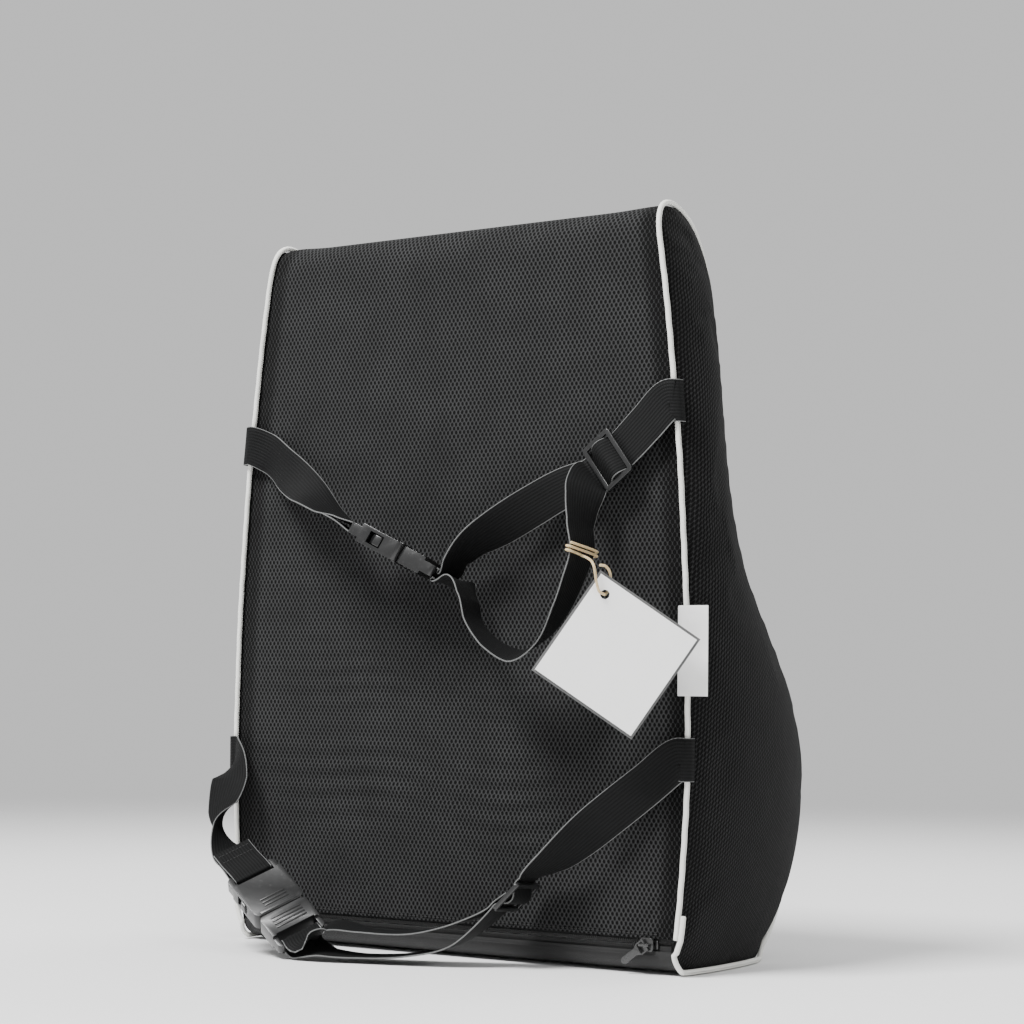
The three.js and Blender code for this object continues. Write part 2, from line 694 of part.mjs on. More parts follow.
/** The rows where a strap leaves its side seam and crosses the piping: side is 1 at +X. */
function seamEnd(side, level) {
  const top = halfWidth(BACK_Y, level + WEB_WIDTH / 2);
  const bottom = halfWidth(BACK_Y, level - WEB_WIDTH / 2);
  const seam = Math.max(top, bottom);
  const crown = BACK_Y - PIPING_LIFT - PIPING_RADIUS - 2 * GAP - WEB_THICK / 2;
  return [
    [seam + 2.6, BACK_Y + 0.2],
    [seam + 2.2, crown + 1.7],
    [seam - PIPING_INSET, crown - 0.3],
    [seam - PIPING_INSET - 4, crown - 1],
  ].map(([x, y]) => [vec(side * x, y, level), vec(side * (top - bottom), 0, WEB_WIDTH).normalize()]);
}

/** A route row from plain numbers. */
const row = (x, y, z, wx, wy, wz) => [vec(x, y, z), vec(wx, wy, wz).normalize()];

const BAR_LIFT = BAR_THICK / 2 + WEB_THICK / 2 + 0.25; // webbing over a buckle's web bar
const BAR_WRAP = BAR_HALF + WEB_THICK / 2 + 0.6; // webbing round the side of a web bar
const BAR_CORNER = [BAR_HALF + 0.7, BAR_THICK / 2 + 0.65]; // webbing round its corners
const GLIDE_LIFT = GLIDE_THICK / 2 + WEB_THICK / 2 + 0.75; // webbing over or under a glide bar
const GLIDE_IN = GLIDE_LENGTH / 2 - GLIDE_RIM + 0.4;

/** The end of a left strap: round the female web bar and back on itself. */
function femaleWrap(buckle) {
  return [
    inFrame(buckle, -14, 1.2),
    inFrame(buckle, -BAR_HALF - 1, BAR_LIFT),
    inFrame(buckle, 0, BAR_LIFT),
    inFrame(buckle, BAR_CORNER[0], BAR_CORNER[1]),
    inFrame(buckle, BAR_WRAP, 0),
    inFrame(buckle, BAR_CORNER[0], -BAR_CORNER[1]),
    inFrame(buckle, 0, -BAR_LIFT),
    inFrame(buckle, -BAR_HALF - 1, -BAR_LIFT),
    inFrame(buckle, -14, -1.2),
    inFrame(buckle, -25, -1),
  ];
}

/** A right strap's way through its adjuster, from the seam side. */
function glideThread(glide) {
  return [
    inFrame(glide, GLIDE_LENGTH / 2 + 3, -GLIDE_LIFT),
    inFrame(glide, GLIDE_IN, -GLIDE_LIFT),
    inFrame(glide, BAR_HALF - 0.1, GLIDE_LIFT),
    inFrame(glide, 0.1 - BAR_HALF, GLIDE_LIFT),
    inFrame(glide, -GLIDE_IN, -GLIDE_LIFT),
    inFrame(glide, -GLIDE_LENGTH / 2 - 3, -GLIDE_LIFT),
  ];
}

/** A right strap's turn round the male web bar. */
function maleWrap(buckle) {
  return [
    inFrame(buckle, BUCKLE_SPAN + 5, 3.2),
    inFrame(buckle, BUCKLE_SPAN, BAR_LIFT),
    inFrame(buckle, BUCKLE_SPAN - BAR_CORNER[0], BAR_CORNER[1]),
    inFrame(buckle, BUCKLE_SPAN - BAR_WRAP, 0),
    inFrame(buckle, BUCKLE_SPAN - BAR_CORNER[0], -BAR_CORNER[1]),
    inFrame(buckle, BUCKLE_SPAN, -BAR_LIFT),
    inFrame(buckle, BUCKLE_SPAN + 5, -3.2),
  ];
}

/** Rows in the opposite order, with their width directions turned round. */
function flipped(rows) {
  return rows.map(([at, across]) => [at, across.clone().negate()]).reverse();
}

/** The sewn end of a right strap, under the adjuster's middle bar. */
function glideTail(glide) {
  return [
    inFrame(glide, -GLIDE_LENGTH / 2 - 3, -GLIDE_LIFT - 2),
    inFrame(glide, -GLIDE_IN, -GLIDE_LIFT - 1.8),
    inFrame(glide, -4, -GLIDE_LIFT - 1),
    inFrame(glide, 1, -GLIDE_LIFT),
  ];
}

/** The upper strap set. */
function buildUpperStrap() {
  const buckle = framed(vec(-44, -96, 258), vec(0.877, 0.189, -0.443), vec(-0.28, 0.95, -0.15));
  const glide = framed(vec(124, -75, 297.5), vec(0.787, 0.03, 0.617), vec(-0.617, 0.05, 0.787));
  buildBuckle("upper", buckle);
  buildGlide("upper", glide);
  const left = [
    ...seamEnd(-1, UPPER_LEFT_LEVEL),
    row(-147, -66, 314, -0.25, 0.1, 0.95),
    row(-124, -74, 301, -0.3, 0.35, 0.85),
    row(-98, -84, 286, -0.25, 0.7, 0.65),
    row(-74, -92, 272, -0.25, 0.9, 0.2),
    ...femaleWrap(buckle),
  ];
  add(cushion, "upper_strap_left", ribbon(left, WEB_WIDTH, WEB_THICK), WEBBING);
  const right = [
    ...seamEnd(1, UPPER_RIGHT_LEVEL),
    row(147, -70, 318, -0.5, 0.02, 0.86),
    ...glideThread(glide),
    row(112.5, -77, 287, -0.65, 0, 0.75),
    row(115, -84, 282, -0.7, -0.4, 0.5),
    row(116.5, -90, 273, -0.35, -0.9, 0.2),
    row(118.5, -95, 259, -0.05, -1, 0),
    row(BAND_ROW, -98, 243, 0, -1, 0),
    row(117, -99, 227, 0.05, -1, 0),
    row(109.5, -100, 210, 0.15, -0.98, 0),
    row(97.5, -101, 192, 0.3, -0.93, -0.15),
    row(80, -101, 183, 0.36, -0.88, -0.29),
    row(61.5, -100, 188.5, 0.3, -0.93, -0.2),
    row(45.5, -98, 202, 0.2, -0.97, 0),
    row(38, -95, 217, 0.2, -0.97, 0),
    row(29, -91, 227, 0.24, -0.96, 0.08),
    ...flipped(maleWrap(buckle)),
    row(21, -84, 239.5, 0.25, -0.9, 0.35),
    row(33, -84, 250, 0.1, -0.8, 0.55),
    row(50, -81, 260, -0.2, -0.55, 0.75),
    row(72, -77.5, 272, -0.45, -0.25, 0.8),
    row(92, -74, 282, -0.58, -0.05, 0.8),
    ...glideTail(glide),
  ];
  add(cushion, "upper_strap_right", ribbon(right, WEB_WIDTH, WEB_THICK), WEBBING);
  return right;
}

/** The lower strap set, whose buckle hangs down to the surface that the cushion stands on. */
function buildLowerStrap() {
  const buckle = framed(vec(-106, -122, 47), vec(0.8, -0.12, -0.585), vec(-0.418, -0.813, -0.405));
  const glide = framed(vec(70, -86, 41), vec(0.67, 0.18, 0.72), vec(0.2, -0.93, 0.1));
  buildBuckle("lower", buckle);
  buildGlide("lower", glide);
  const left = [
    ...seamEnd(-1, LOWER_LEFT_LEVEL),
    row(-160, -84, 104, 0.8, 0.45, 0.4),
    row(-160, -91, 85, 0.9, -0.1, 0.1),
    row(-151, -99, 70, 0.45, -0.9, 0),
    row(-138, -106, 59, 0, -0.95, -0.25),
    ...femaleWrap(buckle),
  ];
  add(cushion, "lower_strap_left", ribbon(left, WEB_WIDTH, WEB_THICK), WEBBING);
  const right = [
    ...seamEnd(1, LOWER_RIGHT_LEVEL),
    row(151, -72, 109, -0.5, -0.1, 0.85),
    row(121, -79, 85, -0.5, -0.45, 0.7),
    row(95, -83, 64, -0.2, -0.85, 0.4),
    ...glideThread(glide),
    row(36, -99, 12, 0.3, -0.95, 0),
    row(10, -109, 5, 0.35, -0.93, 0),
    row(-20, -119, 3, 0.35, -0.93, 0),
    row(-40, -127, 4.5, 0.3, -0.93, -0.08),
    ...maleWrap(buckle),
    row(-41, -123, 20, 0.2, -0.95, -0.2),
    row(-18, -117, 18, 0.35, -0.93, 0),
    row(10, -107, 18, 0.35, -0.93, 0),
    row(34, -98, 24, 0.3, -0.95, 0),
    ...glideTail(glide),
  ];
  add(cushion, "lower_strap_right", ribbon(right, WEB_WIDTH, WEB_THICK), WEBBING);
}

// ----- Side label -----

/** A blank folded label that comes out of the right rear seam, over the piping. */
function buildLabel() {
  const seam = halfWidth(BACK_Y, LABEL_LEVEL);
  const proud = BACK_Y - PIPING_LIFT - PIPING_RADIUS - GAP - LABEL_THICK / 2;
  const upright = vec(0, 0, 1);
  const route = [
    [vec(seam - 7, BACK_Y - 2 * GAP - LABEL_THICK / 2, LABEL_LEVEL), upright],
    [vec(seam - 4, proud + 1, LABEL_LEVEL), upright],
    [vec(seam - PIPING_INSET, proud, LABEL_LEVEL), upright],
    [vec(seam + 7, proud + 0.4, LABEL_LEVEL), upright],
    [vec(seam + 14, proud + 2, LABEL_LEVEL), upright],
  ];
  add(cushion, "side_label", ribbon(route, LABEL_HEIGHT, LABEL_THICK), LABEL);
}

// ----- Swing tag -----

// The hole of the tag, and the directions of the card's two upper edges.
const TAG_HOLE = vec(145, -108, 217);
const TAG_RIGHT_EDGE = vec(0.67, 0.487, -0.56);
const TAG_LEFT_EDGE = vec(-0.454, -0.33, -0.828);

/** A square card with a hole near its top corner, in the tag's frame. */
function tagCard(border, thick, offset) {
  const near = -TAG_HOLE_INSET - border;
  const far = TAG_SIDE - TAG_HOLE_INSET + border;
  const outline = new THREE.Shape();
  outline.moveTo(near, near);
  outline.lineTo(far, near);
  outline.lineTo(far, far);
  outline.lineTo(near, far);
  outline.closePath();
  const hole = new THREE.Path();
  hole.absarc(0, 0, TAG_HOLE_RADIUS, 0, 2 * Math.PI);
  outline.holes.push(hole);
  return plate(outline, thick).translate(0, 0, offset);
}

/** The front card and the backing card behind it. */
function buildTag() {
  const group = framed(TAG_HOLE, TAG_RIGHT_EDGE, TAG_LEFT_EDGE);
  const normal = vec(0, 0, 1).applyQuaternion(group.quaternion);
  const outwards = normal.y < 0 ? 1 : -1;
  const step = (TAG_THICK + GAP) / 2;
  add(group, "hang_tag_card", tagCard(0, TAG_THICK, outwards * step), CARD);
  add(group, "hang_tag_backing", tagCard(TAG_BORDER, TAG_THICK, -outwards * step), BACKING);
  return { group, outwards };
}

/** The rubber band: twice round the strap's slack loop, then through the tag's hole and back. */
function buildBand(strap, tag) {
  const held = strap.findIndex(([at]) => at.x === BAND_ROW);
  const frame = routeFrame(strap, centreLine(strap), held / (strap.length - 1));
  const edge = WEB_WIDTH / 2 + BAND_RADIUS + 2 * GAP;
  const side = WEB_THICK / 2 + BAND_RADIUS + 4 * GAP;
  // One turn round the strap: place across it, over it and along it.
  const turn = [
    [edge, -side * 0.5, -2.5],
    [edge * 0.6, -side, -2.1],
    [-edge * 0.6, -side, -1.7],
    [-edge, -side * 0.5, -1.5],
    [-edge, side * 0.5, -1.3],
    [-edge * 0.6, side, -1.1],
    [edge * 0.6, side, -0.7],
    [edge, side * 0.5, -0.5],
  ];
  const round = [...turn, ...turn.map(([x, y, z]) => [x, y, z + 2.4])];
  const leave = [[edge, -side * 0.5, 2.3], [edge * 0.3, -side * 1.2, 3.4]];
  const wound = [...round, ...leave].map(([x, y, z]) => {
    const spot = frame.at.clone().addScaledVector(frame.across, x).addScaledVector(frame.up, y);
    return spot.addScaledVector(frame.along, z);
  });
  const through = [
    [-15, -10, 4.5],
    [-8, -3, 3.4],
    [-3.5, 0.6, 2.8],
    [-0.6, 0.3, 1.4],
    [0.1, 0, -0.8],
    [0.4, -2.5, -3],
    [-1.5, -8, -3.2],
    [-5, -12.2, -2],
    [-9, -13.4, 1],
    [-12, -11.8, 2.6],
  ].map(([x, y, out]) => tag.group.localToWorld(vec(x, y, tag.outwards * out)));
  const route = new THREE.CatmullRomCurve3([...wound, ...through], false, "centripetal");
  add(cushion, "hang_tag_band", tube(route.getPoints(78), BAND_RADIUS, 8), RUBBER);
}

buildFoam();
buildLiner();
buildCover();
buildPiping();
buildZipSide("upper", 1);
buildZipSide("lower", -1);
buildZipStop("left", -1);
buildZipStop("right", 1);
buildSlider();
buildPull();
const upperStrap = buildUpperStrap();
buildLowerStrap();
buildLabel();
buildBand(upperStrap, buildTag());

export default cushion;
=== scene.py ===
"""A lumbar support cushion: foam in a zipped spacer-mesh cover, with straps, buckles and a tag.

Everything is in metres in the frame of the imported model: +Z up, the flat strap side faces -Y,
the belly faces +Y, and the cushion stands on its base at z = 0.
"""

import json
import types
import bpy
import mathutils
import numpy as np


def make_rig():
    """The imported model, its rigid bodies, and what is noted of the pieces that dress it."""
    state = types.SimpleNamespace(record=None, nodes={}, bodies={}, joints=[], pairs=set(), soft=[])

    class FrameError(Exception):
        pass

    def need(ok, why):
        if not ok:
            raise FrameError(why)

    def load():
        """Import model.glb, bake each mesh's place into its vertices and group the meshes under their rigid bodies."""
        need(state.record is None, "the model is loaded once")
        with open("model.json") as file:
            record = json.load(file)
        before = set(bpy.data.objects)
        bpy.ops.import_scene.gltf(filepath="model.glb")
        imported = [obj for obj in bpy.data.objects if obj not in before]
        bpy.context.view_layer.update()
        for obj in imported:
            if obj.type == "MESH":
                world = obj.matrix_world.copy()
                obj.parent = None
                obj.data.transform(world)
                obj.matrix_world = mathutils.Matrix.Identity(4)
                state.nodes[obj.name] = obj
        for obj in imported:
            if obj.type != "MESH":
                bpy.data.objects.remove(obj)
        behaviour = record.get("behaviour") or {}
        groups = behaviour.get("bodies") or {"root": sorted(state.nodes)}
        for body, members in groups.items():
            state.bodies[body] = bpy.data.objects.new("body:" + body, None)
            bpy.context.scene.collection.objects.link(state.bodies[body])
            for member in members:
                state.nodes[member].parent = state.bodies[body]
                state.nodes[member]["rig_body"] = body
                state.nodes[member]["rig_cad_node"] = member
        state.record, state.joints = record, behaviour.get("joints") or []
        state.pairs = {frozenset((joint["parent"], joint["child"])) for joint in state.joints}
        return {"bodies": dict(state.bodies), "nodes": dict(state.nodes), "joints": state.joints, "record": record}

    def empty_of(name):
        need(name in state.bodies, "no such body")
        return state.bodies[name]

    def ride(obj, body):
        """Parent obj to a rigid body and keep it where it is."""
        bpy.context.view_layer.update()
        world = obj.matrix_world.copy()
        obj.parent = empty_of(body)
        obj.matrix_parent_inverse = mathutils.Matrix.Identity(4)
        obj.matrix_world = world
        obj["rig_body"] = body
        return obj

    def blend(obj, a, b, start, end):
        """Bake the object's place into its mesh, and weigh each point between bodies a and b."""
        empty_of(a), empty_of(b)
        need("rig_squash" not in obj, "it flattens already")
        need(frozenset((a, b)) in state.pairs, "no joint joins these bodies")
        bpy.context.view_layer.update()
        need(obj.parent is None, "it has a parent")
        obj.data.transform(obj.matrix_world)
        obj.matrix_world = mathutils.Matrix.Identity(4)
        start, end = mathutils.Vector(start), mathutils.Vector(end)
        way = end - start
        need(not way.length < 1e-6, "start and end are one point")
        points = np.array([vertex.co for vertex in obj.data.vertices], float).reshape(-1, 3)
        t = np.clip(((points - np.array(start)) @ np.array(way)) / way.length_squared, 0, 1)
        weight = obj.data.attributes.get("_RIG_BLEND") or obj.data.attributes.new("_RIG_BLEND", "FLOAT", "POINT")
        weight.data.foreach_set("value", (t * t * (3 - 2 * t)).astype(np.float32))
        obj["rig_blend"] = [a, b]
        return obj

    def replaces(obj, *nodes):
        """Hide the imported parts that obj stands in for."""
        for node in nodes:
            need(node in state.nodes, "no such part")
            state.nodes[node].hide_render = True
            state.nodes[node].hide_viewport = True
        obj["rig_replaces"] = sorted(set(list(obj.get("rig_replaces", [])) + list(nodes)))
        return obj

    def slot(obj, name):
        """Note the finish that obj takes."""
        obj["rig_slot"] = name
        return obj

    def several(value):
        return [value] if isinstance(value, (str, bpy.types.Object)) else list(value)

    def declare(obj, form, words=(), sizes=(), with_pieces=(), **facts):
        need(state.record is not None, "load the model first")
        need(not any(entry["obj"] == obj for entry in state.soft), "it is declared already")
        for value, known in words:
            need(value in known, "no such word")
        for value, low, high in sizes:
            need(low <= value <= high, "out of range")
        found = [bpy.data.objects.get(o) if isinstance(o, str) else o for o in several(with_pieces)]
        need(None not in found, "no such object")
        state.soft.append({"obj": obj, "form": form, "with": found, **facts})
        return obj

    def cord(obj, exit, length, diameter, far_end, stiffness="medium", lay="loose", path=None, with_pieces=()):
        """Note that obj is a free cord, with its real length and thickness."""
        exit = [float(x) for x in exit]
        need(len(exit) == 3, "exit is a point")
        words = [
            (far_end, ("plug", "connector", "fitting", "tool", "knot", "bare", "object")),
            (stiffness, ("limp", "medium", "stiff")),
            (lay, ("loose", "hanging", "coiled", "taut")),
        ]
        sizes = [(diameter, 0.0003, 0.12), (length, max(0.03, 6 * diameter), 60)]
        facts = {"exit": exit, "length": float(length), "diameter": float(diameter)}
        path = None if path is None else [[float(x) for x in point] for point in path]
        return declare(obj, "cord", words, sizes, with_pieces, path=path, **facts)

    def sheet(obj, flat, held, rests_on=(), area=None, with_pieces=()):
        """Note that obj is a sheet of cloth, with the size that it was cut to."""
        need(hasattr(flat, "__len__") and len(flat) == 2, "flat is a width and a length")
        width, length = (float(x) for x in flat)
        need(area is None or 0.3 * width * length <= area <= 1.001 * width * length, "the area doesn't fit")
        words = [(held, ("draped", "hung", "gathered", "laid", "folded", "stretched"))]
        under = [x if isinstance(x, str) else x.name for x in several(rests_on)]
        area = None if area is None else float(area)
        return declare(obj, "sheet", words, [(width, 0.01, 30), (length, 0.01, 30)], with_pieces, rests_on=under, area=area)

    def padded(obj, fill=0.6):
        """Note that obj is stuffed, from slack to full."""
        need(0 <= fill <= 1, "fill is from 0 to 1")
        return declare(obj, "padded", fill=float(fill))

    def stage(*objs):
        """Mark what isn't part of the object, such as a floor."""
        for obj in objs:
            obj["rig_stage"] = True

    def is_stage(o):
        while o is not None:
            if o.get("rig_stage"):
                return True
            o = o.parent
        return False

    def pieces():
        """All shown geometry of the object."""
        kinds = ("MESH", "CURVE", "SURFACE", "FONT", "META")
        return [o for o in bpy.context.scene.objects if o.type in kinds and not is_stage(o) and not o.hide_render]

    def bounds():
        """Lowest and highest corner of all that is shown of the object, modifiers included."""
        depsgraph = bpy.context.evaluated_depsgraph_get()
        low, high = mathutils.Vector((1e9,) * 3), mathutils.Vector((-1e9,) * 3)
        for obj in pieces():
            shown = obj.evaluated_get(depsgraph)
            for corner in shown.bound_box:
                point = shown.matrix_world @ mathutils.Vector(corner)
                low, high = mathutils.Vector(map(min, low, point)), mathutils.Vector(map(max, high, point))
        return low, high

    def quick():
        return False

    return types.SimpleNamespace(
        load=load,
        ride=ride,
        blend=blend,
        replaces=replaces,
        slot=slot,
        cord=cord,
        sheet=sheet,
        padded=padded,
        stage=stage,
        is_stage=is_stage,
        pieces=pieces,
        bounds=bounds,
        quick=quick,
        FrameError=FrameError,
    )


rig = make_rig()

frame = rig.load()
CAD_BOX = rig.bounds()

import json
import logging
import math
from dataclasses import dataclass
from enum import Enum
from typing import Callable, Iterable, Sequence

import bmesh
import bpy
import numpy as np
from mathutils import Matrix, Vector

LOG = logging.getLogger("cushion")
MM = 0.001
GAP = 0.3 * MM
WEAVE = "weave"
RIM = "rim"
WEB_WIDTH = 25.0

Colour = tuple[float, float, float, float]
Point = tuple[float, float, float]


def grey(level: float, tint: Sequence[float] = (1, 1, 1)) -> Colour:
    """A linear grey with a faint tint."""
    return (level * tint[0], level * tint[1], level * tint[2], 1.0)


def scaled(colour: Colour, factor: float) -> Colour:
    """A colour made darker or lighter, but no lighter than white."""
    return tuple(min(1.0, c * factor) for c in colour[:3]) + (1.0,)


# ---------- Materials ----------


class Signal:
    """One output socket of a material, on which arithmetic adds Math nodes."""

    def __init__(self, paint: "Paint", socket: bpy.types.NodeSocket) -> None:
        """Keeps the socket and the material it belongs to."""
        self.paint = paint
        self.socket = socket

    def apply(self, operation: str, *values: "Signal | float") -> "Signal":
        """One Math node.

        Args:
            operation: the node's operation.
            values: its inputs, in order.

        Returns:
            The node's output.
        """
        return self.paint.node("ShaderNodeMath", {"operation": operation}, dict(enumerate(values)))

    def __add__(self, other: "Signal | float") -> "Signal":
        """self + other."""
        return self.apply("ADD", self, other)

    def __sub__(self, other: "Signal | float") -> "Signal":
        """self - other."""
        return self.apply("SUBTRACT", self, other)

    def __rsub__(self, other: float) -> "Signal":
        """other - self."""
        return self.apply("SUBTRACT", other, self)

    def __mul__(self, other: "Signal | float") -> "Signal":
        """self * other."""
        return self.apply("MULTIPLY", self, other)

    def __truediv__(self, other: "Signal | float") -> "Signal":
        """self / other."""
        return self.apply("DIVIDE", self, other)

    def __rtruediv__(self, other: float) -> "Signal":
        """other / self."""
        return self.apply("DIVIDE", other, self)

    def __pow__(self, other: float) -> "Signal":
        """self ** other."""
        return self.apply("POWER", self, other)

    __radd__ = __add__
    __rmul__ = __mul__

    def floor(self) -> "Signal":
        """The whole part."""
        return self.apply("FLOOR", self)

    def fraction(self) -> "Signal":
        """The part after the decimal point."""
        return self.apply("FRACT", self)

    def wave(self) -> "Signal":
        """A sine of self counted in turns, from 0 to 1."""
        return self.apply("SINE", self * math.tau) * 0.5 + 0.5

    def size(self) -> "Signal":
        """The absolute value."""
        return self.apply("ABSOLUTE", self)

    def step(self, low: float, high: float) -> "Signal":
        """A smooth rise from 0 at low to 1 at high."""
        settings = {"interpolation_type": "SMOOTHSTEP"}
        return self.paint.node("ShaderNodeMapRange", settings, {0: self, 1: low, 2: high})


class Paint:
    """A material while it is being made."""

    def __init__(self, name: str) -> None:
        """Starts a material with a Principled shader."""
        self.material = bpy.data.materials.new(name)
        self.material.use_nodes = True
        self.tree = self.material.node_tree
        self.shader = self.tree.nodes["Principled BSDF"]

    def node(
        self,
        kind: str,
        settings: dict[str, object] | None = None,
        sockets: dict[int | str, object] | None = None,
        output: int | str = 0,
    ) -> Signal:
        """Adds one node.

        Args:
            kind: the node's type.
            settings: its properties, which are set first.
            sockets: values or signals for its inputs, by name or place.
            output: the output that is wanted.

        Returns:
            That output.
        """
        made = self.tree.nodes.new(kind)
        for key, value in (settings or {}).items():
            setattr(made, key, value)
        for key, value in (sockets or {}).items():
            self.plug(made.inputs[key], value)
        return Signal(self, made.outputs[output])

    def plug(self, socket: bpy.types.NodeSocket, value: object) -> None:
        """Links a signal to a socket, or sets a plain value on it."""
        if isinstance(value, Signal):
            self.tree.links.new(value.socket, socket)
        else:
            socket.default_value = value

    def flat(self) -> Signal:
        """The piece's own flat coordinates in metres, as a vector."""
        return self.node("ShaderNodeUVMap", {"uv_map": WEAVE})

    def surface(self) -> tuple[Signal, Signal]:
        """The two flat coordinates apart: across the piece and along it."""
        return self.split(self.flat())[:2]

    def place(self) -> Signal:
        """The place in space, as a vector in metres."""
        return self.node("ShaderNodeTexCoord", output="Object")

    def split(self, vector: Signal) -> tuple[Signal, Signal, Signal]:
        """The three parts of a vector."""
        first = self.node("ShaderNodeSeparateXYZ", {}, {0: vector})
        outputs = first.socket.node.outputs
        return tuple(Signal(self, outputs[i]) for i in range(3))

    def noise(self, vector: Signal, grain: float, detail: float = 3.0) -> Signal:
        """Soft noise from 0 to 1, whose lumps are grain metres across."""
        sockets = {"Vector": vector, "Scale": 1 / grain, "Detail": detail}
        return self.node("ShaderNodeTexNoise", {}, sockets)

    def blend(self, factor: Signal | float, low: object, high: object) -> Signal:
        """A colour between two colours."""
        return self.node("ShaderNodeMix", {"data_type": "RGBA"}, {0: factor, 6: low, 7: high}, 2)

    def finish(
        self,
        colour: object,
        roughness: object,
        height: Signal | None = None,
        depth: float = 0.0,
        **constants: float,
    ) -> bpy.types.Material:
        """Connects the shader.

        Args:
            colour: base colour, a constant or a signal.
            roughness: a constant or a signal.
            height: relief from 0 to 1.
            depth: the height of that relief in metres.
            constants: further shader sockets, with _ for a space.

        Returns:
            The finished material.
        """
        self.plug(self.shader.inputs["Base Color"], colour)
        self.plug(self.shader.inputs["Roughness"], roughness)
        if height is not None:
            bump = self.node("ShaderNodeBump", {}, {"Distance": depth, "Height": height})
            self.plug(self.shader.inputs["Normal"], bump)
        for name, value in constants.items():
            self.shader.inputs[name.replace("_", " ")].default_value = value
        return self.material


@dataclass(frozen=True)
class SpacerMesh:
    """Knitted 3-D mesh with staggered rows of oval holes, with painted shade in the holes and a painted highlight on
    the ridges between them.
    """

    name: str
    pitch: tuple[float, float] = (3.1 * MM, 5.0 * MM)
    hole: tuple[float, float] = (0.86 * MM, 1.12 * MM)
    yarn: Colour = grey(0.028, (0.98, 1.0, 1.0))
    # Near-black colour of the open holes: painted shade inside them.
    pit: Colour = grey(0.0012)
    # How much painted highlight brightens the ridges between the holes.
    ridge: float = 0.35
    slant: float = 0.0
    opening: float = 0.4

    def cell(self, across: Signal, along: Signal) -> Signal:
        """How far a point lies from the middle of its hole, as a share of the hole's size."""
        u = (across.fraction() - 0.5) * (self.pitch[0] / self.hole[0])
        v = (along.fraction() - 0.5) * (self.pitch[1] / self.hole[1])
        return (u * u + v * v) ** 0.5

    def material(self) -> bpy.types.Material:
        """Builds the material."""
        paint = Paint(self.name)
        right, up = paint.surface()
        u = right * math.cos(self.slant) + up * math.sin(self.slant)
        v = up * math.cos(self.slant) - right * math.sin(self.slant)
        flat = paint.flat()
        wander = paint.noise(flat, 9 * MM, 2.0) - 0.5
        rim = paint.node("ShaderNodeAttribute", {"attribute_name": RIM}, {}, "Fac")
        grow = 1 + (1 - rim.step(7 * MM, 17 * MM)) * self.opening
        across = (u + wander * (0.9 * MM)) / self.pitch[0] + 100.0
        along = (v + wander * (0.7 * MM)) / self.pitch[1] + 100.0
        first, second = self.cell(across, along), self.cell(across + 0.5, along + 0.5)
        nearest = first.apply("MINIMUM", first, second) / grow
        open_ = 1 - nearest.step(0.72, 1.22)
        swell = nearest.step(0.9, 2.1)
        staggered = (v / (0.52 * MM) + (u / (1.24 * MM)).floor() * 0.5).wave()
        loops = ((u / (0.62 * MM)).wave() + staggered) * 0.5
        patches = paint.noise(flat, 34 * MM, 3.0)
        fuzz = paint.noise(flat, 0.45 * MM, 2.0)
        # Yarn lightness: the loops, patches and fuzz are the yarn's own tone; the swell term is painted highlight on
        # the ridges, with painted shade towards the hole rims.
        light = 0.66 + swell * self.ridge + loops * 0.22 + patches * 0.24 + fuzz * 0.18
        dark, pale = grey(self.yarn[0] * 0.3), grey(self.yarn[0] * 2.2, (0.98, 1, 1.02))
        bright = paint.blend(light.step(0.75, 1.65), dark, pale)
        # The open holes take the pit colour: painted shade inside the holes.
        colour = paint.blend(open_, bright, self.pit)
        height = (1 - open_) * 0.72 + swell * 0.18 + loops * 0.1
        rough = 0.78 + fuzz * 0.16
        return paint.finish(
            colour, rough, height, 0.5 * MM,
            Sheen_Weight=0.02, Sheen_Roughness=0.5, Specular_IOR_Level=0.1,
        )


@dataclass(frozen=True)
class WovenCloth:
    """A plain weave of two crossing threads."""

    name: str
    thread: float = 0.45 * MM
    base: Colour = grey(0.009)
    contrast: float = 0.5
    relief: float = 0.12 * MM
    roughness: float = 0.72
    sheen: float = 0.1

    def material(self) -> bpy.types.Material:
        """Builds the material."""
        paint = Paint(self.name)
        u, v = paint.surface()
        flat = paint.flat()
        warp = (u / self.thread).wave()
        weft = (v / self.thread).wave()
        turn = ((u / self.thread).floor() + (v / self.thread).floor()) / 2
        over = (turn.fraction() - 0.25).step(0.0, 0.01)
        knit = warp * over + weft * (1 - over)
        worn = paint.noise(flat, 26 * MM, 4.0)
        slub = paint.noise(flat, 1.3 * MM, 2.0)
        dark, light = (scaled(self.base, 1 + self.contrast * way) for way in (-1, 1))
        colour = paint.blend(knit * 0.45 + worn * 0.3 + slub * 0.25, dark, light)
        rough = self.roughness - 0.08 + worn * 0.16
        return paint.finish(
            colour, rough, knit, self.relief, Sheen_Weight=self.sheen, Specular_IOR_Level=0.35
        )


@dataclass(frozen=True)
class PipingKnit:
    """White knitted tape over a cord, with a fine slanting rib."""

    name: str = "piping_knit"

    def material(self) -> bpy.types.Material:
        """Builds the material."""
        paint = Paint(self.name)
        u, v = paint.surface()
        rib = ((u + v) / (0.7 * MM)).wave()
        flat = paint.flat()
        soil = paint.noise(flat, 17 * MM, 4.0).step(0.35, 0.8)
        clean = paint.blend(rib, (0.8, 0.8, 0.75, 1), (0.93, 0.93, 0.89, 1))
        colour = paint.blend(soil * 0.3, clean, (0.6, 0.59, 0.54, 1))
        return paint.finish(colour, 0.62 + rib * 0.1, rib, 0.1 * MM, Sheen_Weight=0.2)


